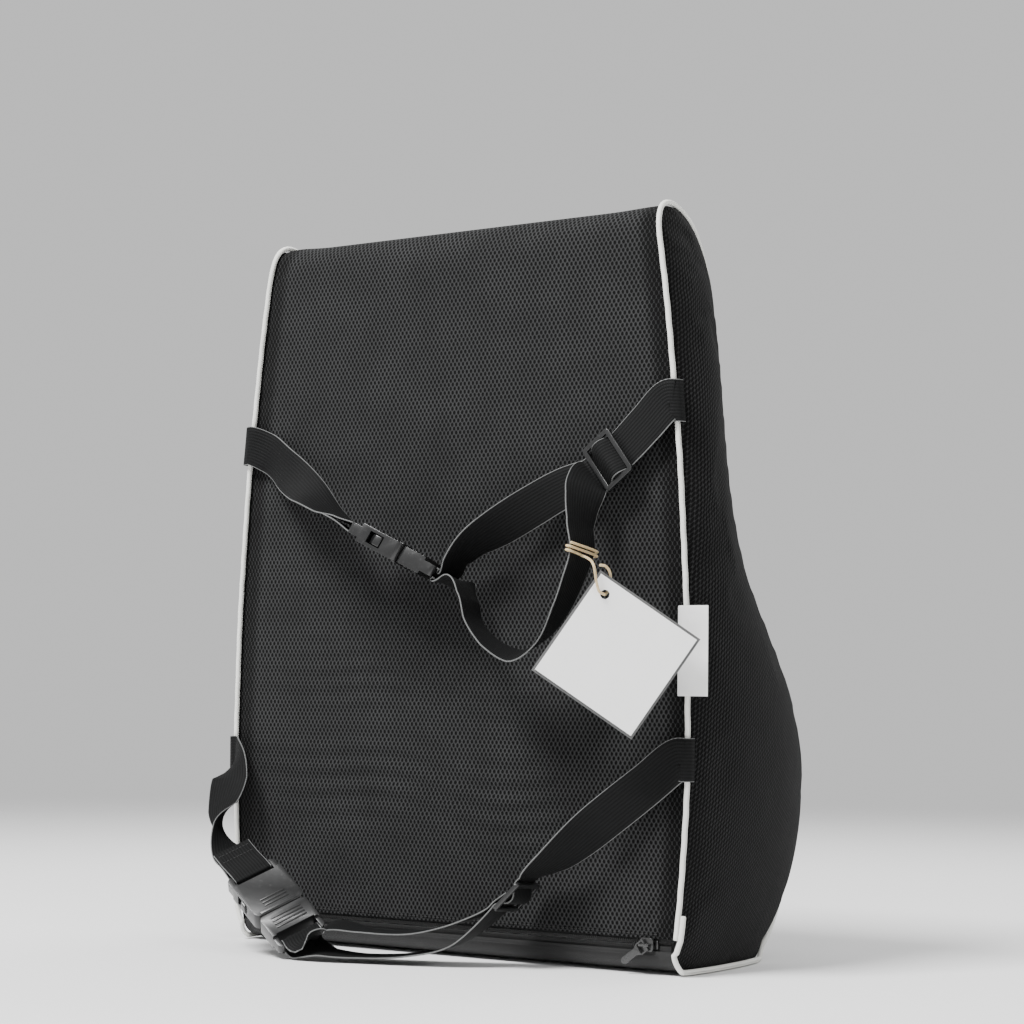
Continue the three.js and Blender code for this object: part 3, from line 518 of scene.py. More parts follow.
@dataclass(frozen=True)
class Webbing:
    """Elastic webbing: ribs along its length, fine weft lines and pale selvedges."""

    name: str = "webbing_ribbed"
    width: float = WEB_WIDTH * MM
    ribs: int = 13
    selvedge: float = 0.4 * MM
    base: Colour = grey(0.0034, (0.97, 1.0, 1.03))

    def material(self) -> bpy.types.Material:
        """Builds the material."""
        paint = Paint(self.name)
        u, v = paint.surface()
        flat = paint.flat()
        rib = (u / (self.width / self.ribs)).wave()
        weft = (v / (0.55 * MM) + rib * 0.35).wave()
        worn = paint.noise(flat, 11 * MM, 3.0)
        dark, light = grey(self.base[0] * 0.42), grey(self.base[0] * 2.1, (0.96, 1, 1.04))
        body = paint.blend(rib * 0.5 + weft * 0.22 + worn * 0.3, dark, light)
        inner = self.width / 2 - self.selvedge
        edge = u.size().step(inner - 0.1 * MM, inner + 0.1 * MM)
        yarn = (v / (0.8 * MM)).wave()
        pale = paint.blend(yarn * 0.6 + worn * 0.4, grey(0.06), grey(0.22, (0.98, 1, 0.99)))
        colour = paint.blend(edge, body, pale)
        height = rib * 0.6 + weft * 0.4
        rough = 0.62 + worn * 0.14 - rib * 0.06
        return paint.finish(
            colour, rough, height, 0.22 * MM, Sheen_Weight=0.01, Specular_IOR_Level=0.12
        )


@dataclass(frozen=True)
class Moulding:
    """Moulded plastic with a fine spark texture and rubbed edges."""

    name: str
    base: Colour = grey(0.008, (0.98, 1.0, 1.02))
    roughness: float = 0.25
    coat: float = 0.35
    metallic: float = 0.0

    def material(self) -> bpy.types.Material:
        """Builds the material."""
        paint = Paint(self.name)
        at = paint.place()
        grain = paint.noise(at, 0.35 * MM, 2.0)
        cloud = paint.noise(at, 7 * MM, 4.0)
        scuff = paint.noise(at, 1.8 * MM, 5.0).step(0.58, 0.72)
        dark, light = scaled(self.base, 0.82), scaled(self.base, 1.28)
        colour = paint.blend(cloud * 0.7 + grain * 0.2 + scuff * 0.3, dark, light)
        rough = self.roughness + cloud * 0.1 + scuff * 0.16
        return paint.finish(
            colour, rough, grain, 0.03 * MM,
            Metallic=self.metallic, Coat_Weight=self.coat, Coat_Roughness=0.3,
        )


@dataclass(frozen=True)
class Satin:
    """Blank white label satin: long floats along one thread."""

    name: str = "label_satin"

    def material(self) -> bpy.types.Material:
        """Builds the material."""
        paint = Paint(self.name)
        u, v = paint.surface()
        flat = paint.flat()
        warp = (u / (0.3 * MM)).wave()
        floats = (v / (1.1 * MM) + (u / (0.3 * MM)).floor() * 0.37).wave()
        shade = paint.noise(flat, 8 * MM, 3.0)
        tone = warp * 0.35 + floats * 0.25 + shade * 0.4
        colour = paint.blend(tone, (0.74, 0.74, 0.73, 1), (0.92, 0.92, 0.91, 1))
        relief = warp * 0.6 + floats * 0.4
        return paint.finish(colour, 0.5 + shade * 0.12, relief, 0.05 * MM, Sheen_Weight=0.15)


@dataclass(frozen=True)
class Paper:
    """Pressed card with faint fibres."""

    name: str
    base: Colour = (0.93, 0.93, 0.92, 1.0)
    roughness: float = 0.55

    def material(self) -> bpy.types.Material:
        """Builds the material."""
        paint = Paint(self.name)
        at = paint.place()
        fibre = paint.noise(at, 0.9 * MM, 5.0)
        cloud = paint.noise(at, 16 * MM, 3.0)
        dark, light = scaled(self.base, 0.93), scaled(self.base, 1.05)
        colour = paint.blend(fibre * 0.5 + cloud * 0.5, dark, light)
        return paint.finish(colour, self.roughness + fibre * 0.12, fibre, 0.03 * MM)


@dataclass(frozen=True)
class Rubber:
    """Tan natural rubber with a dusty bloom."""

    name: str = "rubber_tan"

    def material(self) -> bpy.types.Material:
        """Builds the material."""
        paint = Paint(self.name)
        at = paint.place()
        bloom = paint.noise(at, 2.2 * MM, 4.0)
        colour = paint.blend(bloom, (0.42, 0.28, 0.13, 1), (0.72, 0.56, 0.34, 1))
        return paint.finish(colour, 0.46 + bloom * 0.2, bloom, 0.08 * MM, Subsurface_Weight=0.1)


@dataclass(frozen=True)
class OpenFoam:
    """Cream foam with small open cells."""

    name: str = "foam_cream"

    def material(self) -> bpy.types.Material:
        """Builds the material."""
        paint = Paint(self.name)
        at = paint.place()
        cells = paint.node("ShaderNodeTexVoronoi", {}, {"Vector": at, "Scale": 1 / (0.9 * MM)})
        cloud = paint.noise(at, 40 * MM, 3.0)
        shade = cells * 0.6 + cloud * 0.5
        colour = paint.blend(shade, (0.44, 0.4, 0.27, 1), (0.78, 0.74, 0.6, 1))
        return paint.finish(colour, 0.92 - cloud * 0.05, cells, 0.4 * MM)


# ---------- Meshes ----------


def deselect() -> None:
    """Leaves nothing selected."""
    for other in bpy.context.selected_objects:
        other.select_set(False)


def solo(piece: bpy.types.Object) -> bpy.types.Object:
    """Leaves one object selected and active."""
    deselect()
    piece.select_set(True)
    bpy.context.view_layer.objects.active = piece
    return piece


def smooth(piece: bpy.types.Object, degrees: float = 35.0) -> bpy.types.Object:
    """Shades a piece smoothly except across sharp edges."""
    solo(piece)
    bpy.ops.object.shade_smooth_by_angle(angle=math.radians(degrees))
    return piece


def linked(name: str, data: bpy.types.ID) -> bpy.types.Object:
    """A new object in the scene."""
    piece = bpy.data.objects.new(name, data)
    bpy.context.scene.collection.objects.link(piece)
    return piece


def new_piece(
    name: str,
    spots: Sequence[Sequence[float]],
    faces: Sequence[Sequence[int]],
    flat: Callable[[int], tuple[float, float]] | None = None,
) -> bpy.types.Object:
    """An object from points and faces.

    Args:
        name: the piece's name.
        spots: the points, in metres.
        faces: the faces, by point number.
        flat: gives the flat coordinates of a point by its number.

    Returns:
        The object, linked to the scene.
    """
    mesh = bpy.data.meshes.new(name)
    mesh.from_pydata([tuple(s) for s in spots], [], faces)
    if flat is not None:
        layer = mesh.uv_layers.new(name=WEAVE)
        for loop in mesh.loops:
            layer.data[loop.index].uv = flat(loop.vertex_index)
    return linked(name, mesh)


def modify(piece: bpy.types.Object, kind: str, **settings: object) -> bpy.types.Object:
    """Adds one modifier and applies it."""
    made = piece.modifiers.new(kind.lower(), kind)
    for key, value in settings.items():
        setattr(made, key, value)
    solo(piece)
    bpy.ops.object.modifier_apply(modifier=made.name)
    return piece


def repeat(piece: bpy.types.Object, count: int, pitch: float) -> bpy.types.Object:
    """Copies a piece along X, a pitch in metres apart."""
    return modify(
        piece, "ARRAY", count=count, use_relative_offset=False, use_constant_offset=True,
        constant_offset_displace=(pitch, 0, 0),
    )


def dress(piece: bpy.types.Object, material: bpy.types.Material, slot: str) -> bpy.types.Object:
    """Gives a piece its material and names its slot in the record."""
    piece.data.materials.clear()
    piece.data.materials.append(material)
    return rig.slot(piece, slot)


def grid_faces(rows: int, columns: int, closed: bool = False) -> list[tuple[int, ...]]:
    """Quads over a grid of points, numbered row by row, and closed across if asked."""
    span = columns if closed else columns - 1
    quads = []
    for i in range(rows - 1):
        for j in range(span):
            a, b = i * columns + j, i * columns + (j + 1) % columns
            quads.append((a, b, b + columns, a + columns))
    return quads


def sheet_grid(
    name: str, points: np.ndarray, flat: np.ndarray, outward: bool = True
) -> bpy.types.Object:
    """A sheet from a grid of points, which also knows how far each point is from its side seams.

    Args:
        name: the piece's name.
        points: rows by columns by 3.
        flat: rows by columns by 2, the flat coordinates in metres.
        outward: whether the faces keep the order of the grid or are turned over.

    Returns:
        The sheet.
    """
    rows, columns = points.shape[:2]
    faces = grid_faces(rows, columns)
    if not outward:
        faces = [face[::-1] for face in faces]
    table = flat.reshape(-1, 2)
    piece = new_piece(name, points.reshape(-1, 3), faces, lambda i: tuple(table[i]))
    left = np.linalg.norm(points - points[:, :1], axis=2)
    right = np.linalg.norm(points - points[:, -1:], axis=2)
    rim = piece.data.attributes.new(RIM, "FLOAT", "POINT")
    rim.data.foreach_set("value", np.minimum(left, right).ravel().astype(np.float32))
    return piece


# ---------- The cushion's form ----------


def bezier(a: Point, b: Point, c: Point, d: Point, step: float) -> list[np.ndarray]:
    """Points along a cubic curve, about a step apart, without its start."""
    corners = [np.array(p, float) * MM for p in (a, b, c, d)]
    length = sum(np.linalg.norm(q - p) for p, q in zip(corners, corners[1:]))
    count = max(3, math.ceil(length / step))
    spots = []
    for i in range(1, count + 1):
        t = i / count
        weights = ((1 - t) ** 3, 3 * t * (1 - t) ** 2, 3 * t * t * (1 - t), t**3)
        spots.append(sum(w * p for w, p in zip(weights, corners)))
    return spots


class Panel(Enum):
    """The stretches of the side profile that a panel of the cover takes in."""

    WRAP = "wrap"
    ZIP = "zip"
    BASE = "base"


@dataclass
class CushionForm:
    """The outer form: a side profile, its half-width and the swell of the sides."""

    height: float = 450 * MM
    belly_half: float = 174 * MM
    base_half: float = 164 * MM
    top_half: float = 149 * MM
    belly_level: float = 130 * MM
    back_y: float = -62 * MM
    belly_depth: float = 156 * MM
    front_inset: float = 17 * MM
    side_bulge: float = 17 * MM
    crown: float = 9 * MM
    zip_low: float = 13.2 * MM
    zip_high: float = 20.6 * MM
    step: float = 5.5 * MM

    def __post_init__(self) -> None:
        """Works out the profile and the table of chords."""
        self.stretches = self.profile()
        loop = np.array(sum((self.stretches[k] for k in (Panel.BASE, Panel.ZIP, Panel.WRAP)), []))
        self.levels = np.linspace(0.3 * MM, self.height - 0.3 * MM, 900)
        self.rear, self.front = self.chords(loop, self.levels)

    def profile(self) -> dict[Panel, list[np.ndarray]]:
        """The side profile in (y, z), up the strap side and down the front."""
        heel_start = np.array((-30, 0)) * MM
        heel = bezier((-30, 0), (-46, 0), (-61, 1), (-62, 12), self.step / 2)
        low, high = (self.back_y, self.zip_low), (self.back_y, self.zip_high)
        back = bezier((-62, self.zip_high / MM), (-62, 150), (-62, 290), (-62, 425), self.step * 0.45)
        crown = bezier((-62, 425), (-62, 442), (-58, 450), (-48, 450), self.step * 0.7)
        brow = bezier((-48, 450), (-31, 450), (-15, 436), (-11, 405), self.step * 0.8)
        chest = bezier((-11, 405), (-9, 375), (-12, 340), (-12, 312), self.step)
        waist = bezier((-12, 312), (-12, 285), (-9, 262), (4, 236), self.step)
        belly = bezier((4, 236), (24, 200), (88, 160), (93, 112), self.step)
        lap = bezier((93, 112), (97, 75), (87, 38), (50, 13), self.step)
        toe = bezier((50, 13), (47, 6), (43, 0), (33, 0), self.step / 2)
        flat = bezier((33, 0), (12, 0), (-9, 0), (-30, 0), self.step)
        return {
            Panel.WRAP: [np.array(high)] + back + crown + brow + chest + waist + belly + lap,
            Panel.ZIP: [np.array(low), np.array(high)],
            Panel.BASE: [lap[-1]] + toe + flat[:-1] + [heel_start] + heel + [np.array(low)],
        }

    def chords(self, loop: np.ndarray, levels: np.ndarray) -> tuple[np.ndarray, np.ndarray]:
        """The rear and front y of the profile at each level."""
        after = np.roll(loop, -1, axis=0)
        rear, front = [], []
        for level in levels:
            crosses = (loop[:, 1] - level) * (after[:, 1] - level) <= 0
            crosses &= loop[:, 1] != after[:, 1]
            a, b = loop[crosses], after[crosses]
            share = (level - a[:, 1]) / (b[:, 1] - a[:, 1])
            hits = a[:, 0] + share * (b[:, 0] - a[:, 0])
            rear.append(hits.min())
            front.append(hits.max())
        return np.array(rear), np.array(front)

    def chord(self, level: float) -> tuple[float, float]:
        """The rear and front y at one level."""
        rear = float(np.interp(level, self.levels, self.rear))
        return rear, float(np.interp(level, self.levels, self.front))

    def half_width(self, y: float, z: float) -> float:
        """Half-width from seam to seam."""
        if z < self.belly_level:
            share = (self.belly_level - z) / self.belly_level
            seam = self.belly_half + (self.base_half - self.belly_half) * share**2
        else:
            share = (z - self.belly_level) / (self.height - self.belly_level)
            seam = self.belly_half + (self.top_half - self.belly_half) * share**2
        forward = min(max((y - self.back_y) / self.belly_depth, 0.0), 1.0)
        return seam - self.front_inset * forward**2

    def bulge(self, y: float, z: float) -> float:
        """How far the side swells beyond the seams."""
        level = min(max(z, MM), self.height - MM)
        rear, front = self.chord(level)
        across = min(max((y - rear) / (front - rear), 0.0), 1.0)
        fullness = 0.45 + 0.55 * (front - rear) / self.belly_depth
        rise = math.sin(math.pi * level / self.height) ** 0.4
        return self.side_bulge * fullness * (4 * across * (1 - across)) ** 0.62 * rise

    def pull(self, level: float) -> float:
        """How far the front seam is drawn back from the full front at a level."""
        rear, front = self.chord(level)
        rise = min(max(level / (40 * MM), 0.0), 1.0)
        rise *= min(max((self.height - level) / (60 * MM), 0.0), 1.0)
        return self.crown * (front - rear) / self.belly_depth * rise

    def normals(self, line: Sequence[np.ndarray]) -> list[np.ndarray]:
        """Outward normals in (y, z) along a stretch of the profile."""
        found = []
        for i in range(len(line)):
            run = line[min(i + 1, len(line) - 1)] - line[max(i - 1, 0)]
            run = run / max(np.linalg.norm(run), 1e-9)
            found.append(np.array((-run[1], run[0])))
        return found


def ripple(x: float, z: float) -> float:
    """Faint level creases across the lower half of the strap side, where the foam is squeezed.

    Args:
        x: place across the cushion.
        z: height.

    Returns:
        How far the cloth stands out, in metres.
    """
    drift = 6 * MM * math.sin(x / (61 * MM) + 0.7) + 3.5 * MM * math.sin(x / (23 * MM))
    total = 0.0
    creases = ((168, 24, 11.0, 0.6), (104, 30, 13.0, 0.8), (235, 34, 16.0, 0.35))
    for middle, spread, pitch, height in creases:
        level = z - middle * MM + drift
        fade = math.exp(-((level / (spread * MM)) ** 2))
        side = math.exp(-(((x + 25 * MM) / (120 * MM)) ** 4))
        swing = math.sin(math.tau * level / (pitch * MM) + 1.8 * math.sin(x / (47 * MM)))
        total += height * MM * fade * side * swing
    return total


@dataclass
class Cover:
    """The four sewn panels of the cover, the foam and its liner."""

    form: CushionForm
    thick: float = 1.6 * MM
    seam_inset: float = 1.4 * MM
    columns: int = 49
    settle_cap: float = 0.9 * MM
    frames: int = 20

    def seam_dip(self, reach: float) -> float:
        """How far a panel stands above its seam, at some distance from it."""
        sunk = -0.7 * MM * math.exp(-reach / (2.2 * MM))
        return sunk + 0.3 * MM * (1 - math.exp(-reach / (16 * MM)))

    def wrap(self, panel: Panel) -> tuple[np.ndarray, np.ndarray]:
        """Points and flat coordinates of a panel that follows the profile."""
        line = self.form.stretches[panel]
        normals = self.form.normals(line)
        points, flat, run = [], [], 0.0
        for i, (spot, normal) in enumerate(zip(line, normals)):
            run += float(np.linalg.norm(spot - line[i - 1])) if i else 0.0
            half = self.form.half_width(*spot) - self.seam_inset
            for share in np.linspace(-1, 1, self.columns):
                x = half * math.sin(share * 1.3) / math.sin(1.3)
                out = 0.0
                if panel is Panel.WRAP:
                    out = self.seam_dip(half - abs(x))
                    if normal[0] < -0.99:
                        out += ripple(x, spot[1])
                y, z = spot + normal * out
                if panel is Panel.WRAP and normal[0] > 0:
                    y -= self.form.pull(spot[1]) * abs(x / half) ** 5 * min(1.0, normal[0] * 3)
                points.append((x, y, max(z, 0.0)))
                flat.append((x, run))
        shape = (len(line), self.columns)
        return np.array(points).reshape(*shape, 3), np.array(flat).reshape(*shape, 2)

    def side(self, sign: int) -> tuple[np.ndarray, np.ndarray]:
        """Points and flat coordinates of a side panel: sign is 1 at +X."""
        rows, columns = 92, 31
        points, flat = [], []
        for i in range(rows):
            share = i / (rows - 1)
            eased = share - 0.11 * math.sin(math.tau * share)
            level = 0.4 * MM + (self.form.height - 1.4 * MM) * eased
            rear, front = self.form.chord(level)
            front -= self.form.pull(level)
            for j in range(columns):
                across = 0.5 - 0.5 * math.cos(math.pi * j / (columns - 1))
                y = rear + (front - rear) * (0.15 * j / (columns - 1) + 0.85 * across)
                out = self.form.half_width(y, level) + self.form.bulge(y, level) - 0.4 * MM
                points.append((sign * out, y, level))
                flat.append((y * 1.02, level))
        shape = (rows, columns)
        return np.array(points).reshape(*shape, 3), np.array(flat).reshape(*shape, 2)

    def settle(self, piece: bpy.types.Object, rows: int, columns: int) -> None:
        """Blows the cloth out against its seams by simulation and keeps a capped share of it.

        Args:
            piece: a sheet whose edges are sewn.
            rows: rows of its grid.
            columns: columns of its grid.
        """
        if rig.quick():
            return
        rest = np.array([v.co for v in piece.data.vertices])
        held = piece.vertex_groups.new(name="held")
        border = [
            i * columns + j
            for i in range(rows)
            for j in range(columns)
            if i in (0, rows - 1) or j in (0, columns - 1)
        ]
        held.add(border, 1.0, "REPLACE")
        cloth = piece.modifiers.new("settle", "CLOTH")
        settings = cloth.settings
        settings.quality = 6
        settings.mass = 0.25
        settings.tension_stiffness = 40
        settings.compression_stiffness = 40
        settings.shear_stiffness = 12
        settings.bending_stiffness = 0.8
        settings.use_pressure = True
        settings.uniform_pressure_force = 4
        settings.shrink_min = -0.006
        settings.vertex_group_mass = "held"
        settings.effector_weights.gravity = 0
        cloth.point_cache.frame_start = 1
        cloth.point_cache.frame_end = self.frames
        for number in range(1, self.frames + 1):
            bpy.context.scene.frame_set(number)
        graph = bpy.context.evaluated_depsgraph_get()
        moved = np.array([v.co for v in piece.evaluated_get(graph).data.vertices])
        piece.modifiers.remove(cloth)
        piece.vertex_groups.remove(held)
        bpy.context.scene.frame_set(1)
        shift = moved - rest
        length = np.linalg.norm(shift, axis=1, keepdims=True)
        capped = shift / np.maximum(length, 1e-9) * self.settle_cap * np.tanh(length / self.settle_cap)
        final = rest + np.nan_to_num(capped)
        final[:, 2] = np.maximum(final[:, 2], 0.2 * MM)
        piece.data.vertices.foreach_set("co", final.ravel())
        piece.data.update()

    def close(self, piece: bpy.types.Object) -> bpy.types.Object:
        """Gives a panel its thickness, inwards."""
        modify(piece, "SOLIDIFY", thickness=self.thick, offset=-1.0)
        return smooth(piece, 50)

    def make_cover(
        self, mesh: bpy.types.Material, flank: bpy.types.Material, sole: bpy.types.Material
    ) -> None:
        """Builds and dresses the four panels.

        Args:
            mesh: spacer mesh of the wrap.
            flank: spacer mesh of the sides, its darker yarn painted shade.
            sole: smooth cloth of the base.
        """
        points, flat = self.wrap(Panel.WRAP)
        wrap = sheet_grid("wrap_panel", points, flat)
        self.settle(wrap, *points.shape[:2])
        self.close(wrap)
        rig.ride(dress(wrap, mesh, "mesh_cloth"), "cushion")
        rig.replaces(wrap, "cover_wrap_panel")
        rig.padded(wrap, 0.85)
        LOG.info("wrap panel, %d faces", len(wrap.data.polygons))
        points, flat = self.wrap(Panel.BASE)
        base = self.close(sheet_grid("base_panel", points, flat))
        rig.ride(dress(base, sole, "base_cloth"), "cushion")
        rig.replaces(base, "cover_base_panel")
        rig.padded(base, 0.85)
        for sign, side in ((-1, "left"), (1, "right")):
            points, flat = self.side(sign)
            panel = sheet_grid(f"side_panel_{side}", points, flat, outward=sign > 0)
            self.settle(panel, *points.shape[:2])
            self.close(panel)
            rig.ride(dress(panel, flank, "mesh_cloth"), "cushion")
            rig.replaces(panel, f"cover_side_{side}")
            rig.padded(panel, 0.85)
            LOG.info("side panel %s", side)

    def inner_block(self, name: str, depth: float, rows: int) -> bpy.types.Object:
        """A closed body of the cushion's form, a depth inside it, with rounded corners."""
        around, power = 44, 0.28
        points = []
        for i in range(rows):
            share = i / (rows - 1)
            eased = share - 0.1 * math.sin(math.tau * share)
            level = depth + (self.form.height - 2 * depth) * eased
            rear, front = self.form.chord(level)
            middle, deep = (rear + front) / 2, (front - rear) / 2 - depth
            for j in range(around):
                turn = math.tau * j / around
                c, s = math.cos(turn), math.sin(turn)
                y = middle + deep * math.copysign(abs(s) ** power, s)
                wide = self.form.half_width(y, level) + self.form.bulge(y, level) * 0.7 - depth
                points.append((wide * math.copysign(abs(c) ** power, c), y, level))
        faces = grid_faces(rows, around, closed=True)
        faces.append(tuple(range(around))[::-1])
        faces.append(tuple(range((rows - 1) * around, rows * around)))
        flat = [(x + y, z) for x, y, z in points]
        return smooth(new_piece(name, points, faces, lambda i: flat[i]), 40)

    def make_filling(self, foam: bpy.types.Material, knit: bpy.types.Material) -> None:
        """Builds the foam block and the knitted liner round it."""
        block = self.inner_block("foam_block", 7.4 * MM, 60)
        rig.ride(dress(block, foam, "foam"), "cushion")
        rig.replaces(block, "foam_core")
        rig.padded(block, 1.0)
        liner = self.inner_block("liner_sock", 6.0 * MM, 60)
        solo(liner)
        faces = liner.data.polygons
        floor = min(faces, key=lambda face: face.center.z)
        grid = bmesh.new()
        grid.from_mesh(liner.data)
        grid.faces.ensure_lookup_table()
        bmesh.ops.inset_individual(grid, faces=[grid.faces[floor.index]], thickness=24 * MM)
        grid.faces.ensure_lookup_table()
        bmesh.ops.delete(grid, geom=[grid.faces[floor.index]], context="FACES")
        grid.to_mesh(liner.data)
        grid.free()
        modify(liner, "SOLIDIFY", thickness=0.6 * MM, offset=-1.0)
        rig.ride(dress(liner, knit, "liner"), "cushion")
        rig.replaces(liner, "inner_liner")
        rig.padded(liner, 0.9)
        LOG.info("foam block and liner")


@dataclass
class Piping:
    """A white corded edge round each side panel, its two ends lapped above the heel."""

    form: CushionForm
    radius: float = 1.6 * MM
    lift: float = 1.8 * MM
    inset: float = 0.6 * MM
    lap: float = 14 * MM
    sides: int = 12

    def route(self, sign: int) -> list[Vector]:
        """The cord's centre line: sign is 1 at +X."""
        stretches = self.form.stretches
        under = stretches[Panel.BASE][1:]
        heights = [self.form.zip_high + self.lap * t for t in (0, 0.35, 0.7, 1.0)]
        tail = [np.array((self.form.back_y, height)) for height in heights]
        line = stretches[Panel.WRAP] + under + tail
        normals = self.form.normals(line)
        overlap = len(tail) + 1
        spots = []
        for i, (spot, normal) in enumerate(zip(line, normals)):
            left = len(line) - 1 - i
            lapped = (2 * self.radius + GAP) * min(1.0, max(0.0, (overlap - left) / 2))
            beyond = self.radius + self.inset + 2 * GAP + self.form.bulge(spot[0], 2 * self.radius)
            splay = max(0.0, -normal[1]) * beyond
            wander = 0.1 * MM * math.sin(i * 0.9) + 0.12 * MM * math.sin(i * 0.17 + 1)
            out = self.form.half_width(*spot) - self.inset + lapped + splay + wander
            level = max(spot[1] + normal[1] * self.lift, self.radius)
            back = self.form.pull(spot[1]) * min(1.0, max(0.0, normal[0] * 3))
            spots.append(Vector((sign * out, spot[0] + normal[0] * self.lift - back, level)))
        return spots

    def make(self, knit: bpy.types.Material) -> None:
        """Builds and dresses both cords."""
        for sign, side in ((-1, "left"), (1, "right")):
            cord = tube(f"piping_cord_{side}", self.route(sign), self.radius, self.sides)
            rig.ride(dress(cord, knit, "piping"), "cushion")
            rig.replaces(cord, f"piping_{side}")
            LOG.info("piping %s", side)


def tube(name: str, line: Sequence[Vector], radius: float, sides: int) -> bpy.types.Object:
    """A closed tube with rounded ends.

    Args:
        name: the piece's name.
        line: its centre line.
        radius: its radius.
        sides: how many sides it has.

    Returns:
        The tube.
    """
    across = Vector((1, 0, 0))
    spots: list[Vector] = []
    flat: list[tuple[float, float]] = []
    run = 0.0
    ends = len(line) - 1
    for i, at in enumerate(line):
        along = (line[min(i + 1, ends)] - line[max(i - 1, 0)]).normalized()
        across = (across - along * across.dot(along)).normalized()
        up = along.cross(across)
        run += (at - line[i - 1]).length if i else 0.0
        for k in range(sides):
            turn = math.tau * k / sides
            spots.append(at + (across * math.cos(turn) + up * math.sin(turn)) * radius)
            flat.append((radius * turn, run))
    faces = grid_faces(len(line), sides, closed=True)
    faces.append(tuple(range(sides))[::-1])
    faces.append(tuple(range(ends * sides, (ends + 1) * sides)))
    piece = new_piece(name, spots, faces, lambda i: flat[i])
    limit = math.radians(70)
    modify(piece, "BEVEL", width=radius * 0.35, segments=2, limit_method="ANGLE", angle_limit=limit)
    return smooth(piece, 60)


# ---------- Moulded and metal pieces ----------


def framed(origin: Sequence[float], along: Sequence[float], across: Sequence[float]) -> Matrix:
    """A frame in millimetres whose X and Y axes point along two directions."""
    x = Vector(along).normalized()
    y = Vector(across)
    y = (y - x * y.dot(x)).normalized()
    z = x.cross(y)
    columns = Matrix((x, y, z)).transposed().to_4x4()
    return Matrix.Translation(Vector(origin)) @ columns


UPPER_BUCKLE = framed((-44, -96, 258), (0.877, 0.189, -0.443), (-0.28, 0.95, -0.15))
UPPER_GLIDE = framed((124, -75, 297.5), (0.787, 0.03, 0.617), (-0.617, 0.05, 0.787))
LOWER_BUCKLE = framed((-106, -122, 47), (0.8, -0.12, -0.585), (-0.418, -0.813, -0.405))
LOWER_GLIDE = framed((70, -86, 41), (0.67, 0.18, 0.72), (0.2, -0.93, 0.1))
TAG = framed((145, -108, 217), (0.67, 0.487, -0.56), (-0.454, -0.33, -0.828))


def recut(node: str, name: str, bevel: float, angle: float = 32.0) -> bpy.types.Object:
    """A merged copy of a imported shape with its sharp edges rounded.

    Args:
        node: the shape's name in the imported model.
        name: the new piece's name.
        bevel: width of the rounding, in metres.
        angle: edges sharper than this many degrees are rounded.

    Returns:
        The new piece.
    """
    mesh = frame["nodes"][node].data.copy()
    mesh.name = name
    piece = solo(linked(name, mesh))
    if mesh.has_custom_normals:
        bpy.ops.mesh.customdata_custom_splitnormals_clear()
    bpy.ops.object.mode_set(mode="EDIT")
    bpy.ops.mesh.select_all(action="SELECT")
    bpy.ops.mesh.remove_doubles(threshold=1e-5)
    bpy.ops.mesh.dissolve_limited(angle_limit=math.radians(0.5))
    bpy.ops.mesh.normals_make_consistent(inside=False)
    bpy.ops.object.mode_set(mode="OBJECT")
    limit = math.radians(angle)
    modify(piece, "BEVEL", width=bevel, segments=3, limit_method="ANGLE", angle_limit=limit)
    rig.replaces(piece, node)
    return smooth(piece, 40)


def pad(name: str, place: Matrix, size: Point, bevel: float) -> bpy.types.Object:
    """A rounded block of a size in millimetres, standing on a frame in millimetres."""
    deselect()
    bpy.ops.mesh.primitive_cube_add(size=1)
    piece = bpy.context.active_object
    piece.name = name
    piece.data.name = name
    piece.data.transform(Matrix.Diagonal((*size, 1)))
    piece.data.transform(place)
    piece.data.transform(Matrix.Scale(MM, 4))
    modify(piece, "BEVEL", width=bevel * MM, segments=3, limit_method="NONE")
    return smooth(piece, 40)


def joined(name: str, pieces: Sequence[bpy.types.Object]) -> bpy.types.Object:
    """Several pieces made into one, under a name."""
    solo(pieces[0])
    for other in pieces[1:]:
        other.select_set(True)
    bpy.ops.object.join()
    piece = bpy.context.active_object
    piece.name = name
    piece.data.name = name
    return piece


@dataclass
class Buckle:
    """A side-release buckle: a hollow half, a solid half and two springy prongs."""

    name: str
    place: Matrix
    bodies: dict[str, str]

    def grips(self, half: str, starts: Sequence[float], high: float, wide: float) -> bpy.types.Object:
        """Fine friction ribs across both faces of one half."""
        ribs = []
        for start in starts:
            for face in (-1, 1):
                spot = self.place @ Matrix.Translation((start, 0, face * high))
                ribs.append(pad("rib", spot, (1.1, wide, 0.9), 0.35))
        return joined(f"{self.name}_{half}_grips", ribs)

    def rim(self) -> bpy.types.Object:
        """The thickened lip round the mouth of the hollow half."""
        bars = []
        for face in (-1, 1):
            spot = self.place @ Matrix.Translation((34.3, 0, face * 6.05))
            bars.append(pad("lip", spot, (2.2, 27, 0.9), 0.35))
        return joined(f"{self.name}_mouth_lip", bars)

    def make(self, acetal: bpy.types.Material) -> None:
        """Builds and dresses the halves, the prongs and the ribs."""
        for half, body in self.bodies.items():
            node = f"{self.name}_{half}"
            piece = recut(node, f"{node}_moulding", 0.55 * MM)
            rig.ride(dress(piece, acetal, "acetal"), body)
        female, male = self.bodies["buckle_female"], self.bodies["buckle_male"]
        extras = (
            (self.grips("female", (25.5, 28.0, 30.5), 6.05, 17), female),
            (self.grips("male", (41.0, 43.6, 46.2, 48.8), 5.55, 21), male),
            (self.rim(), female),
        )
        for piece, body in extras:
            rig.ride(dress(piece, acetal, "acetal"), body)
        LOG.info("%s buckle", self.name)


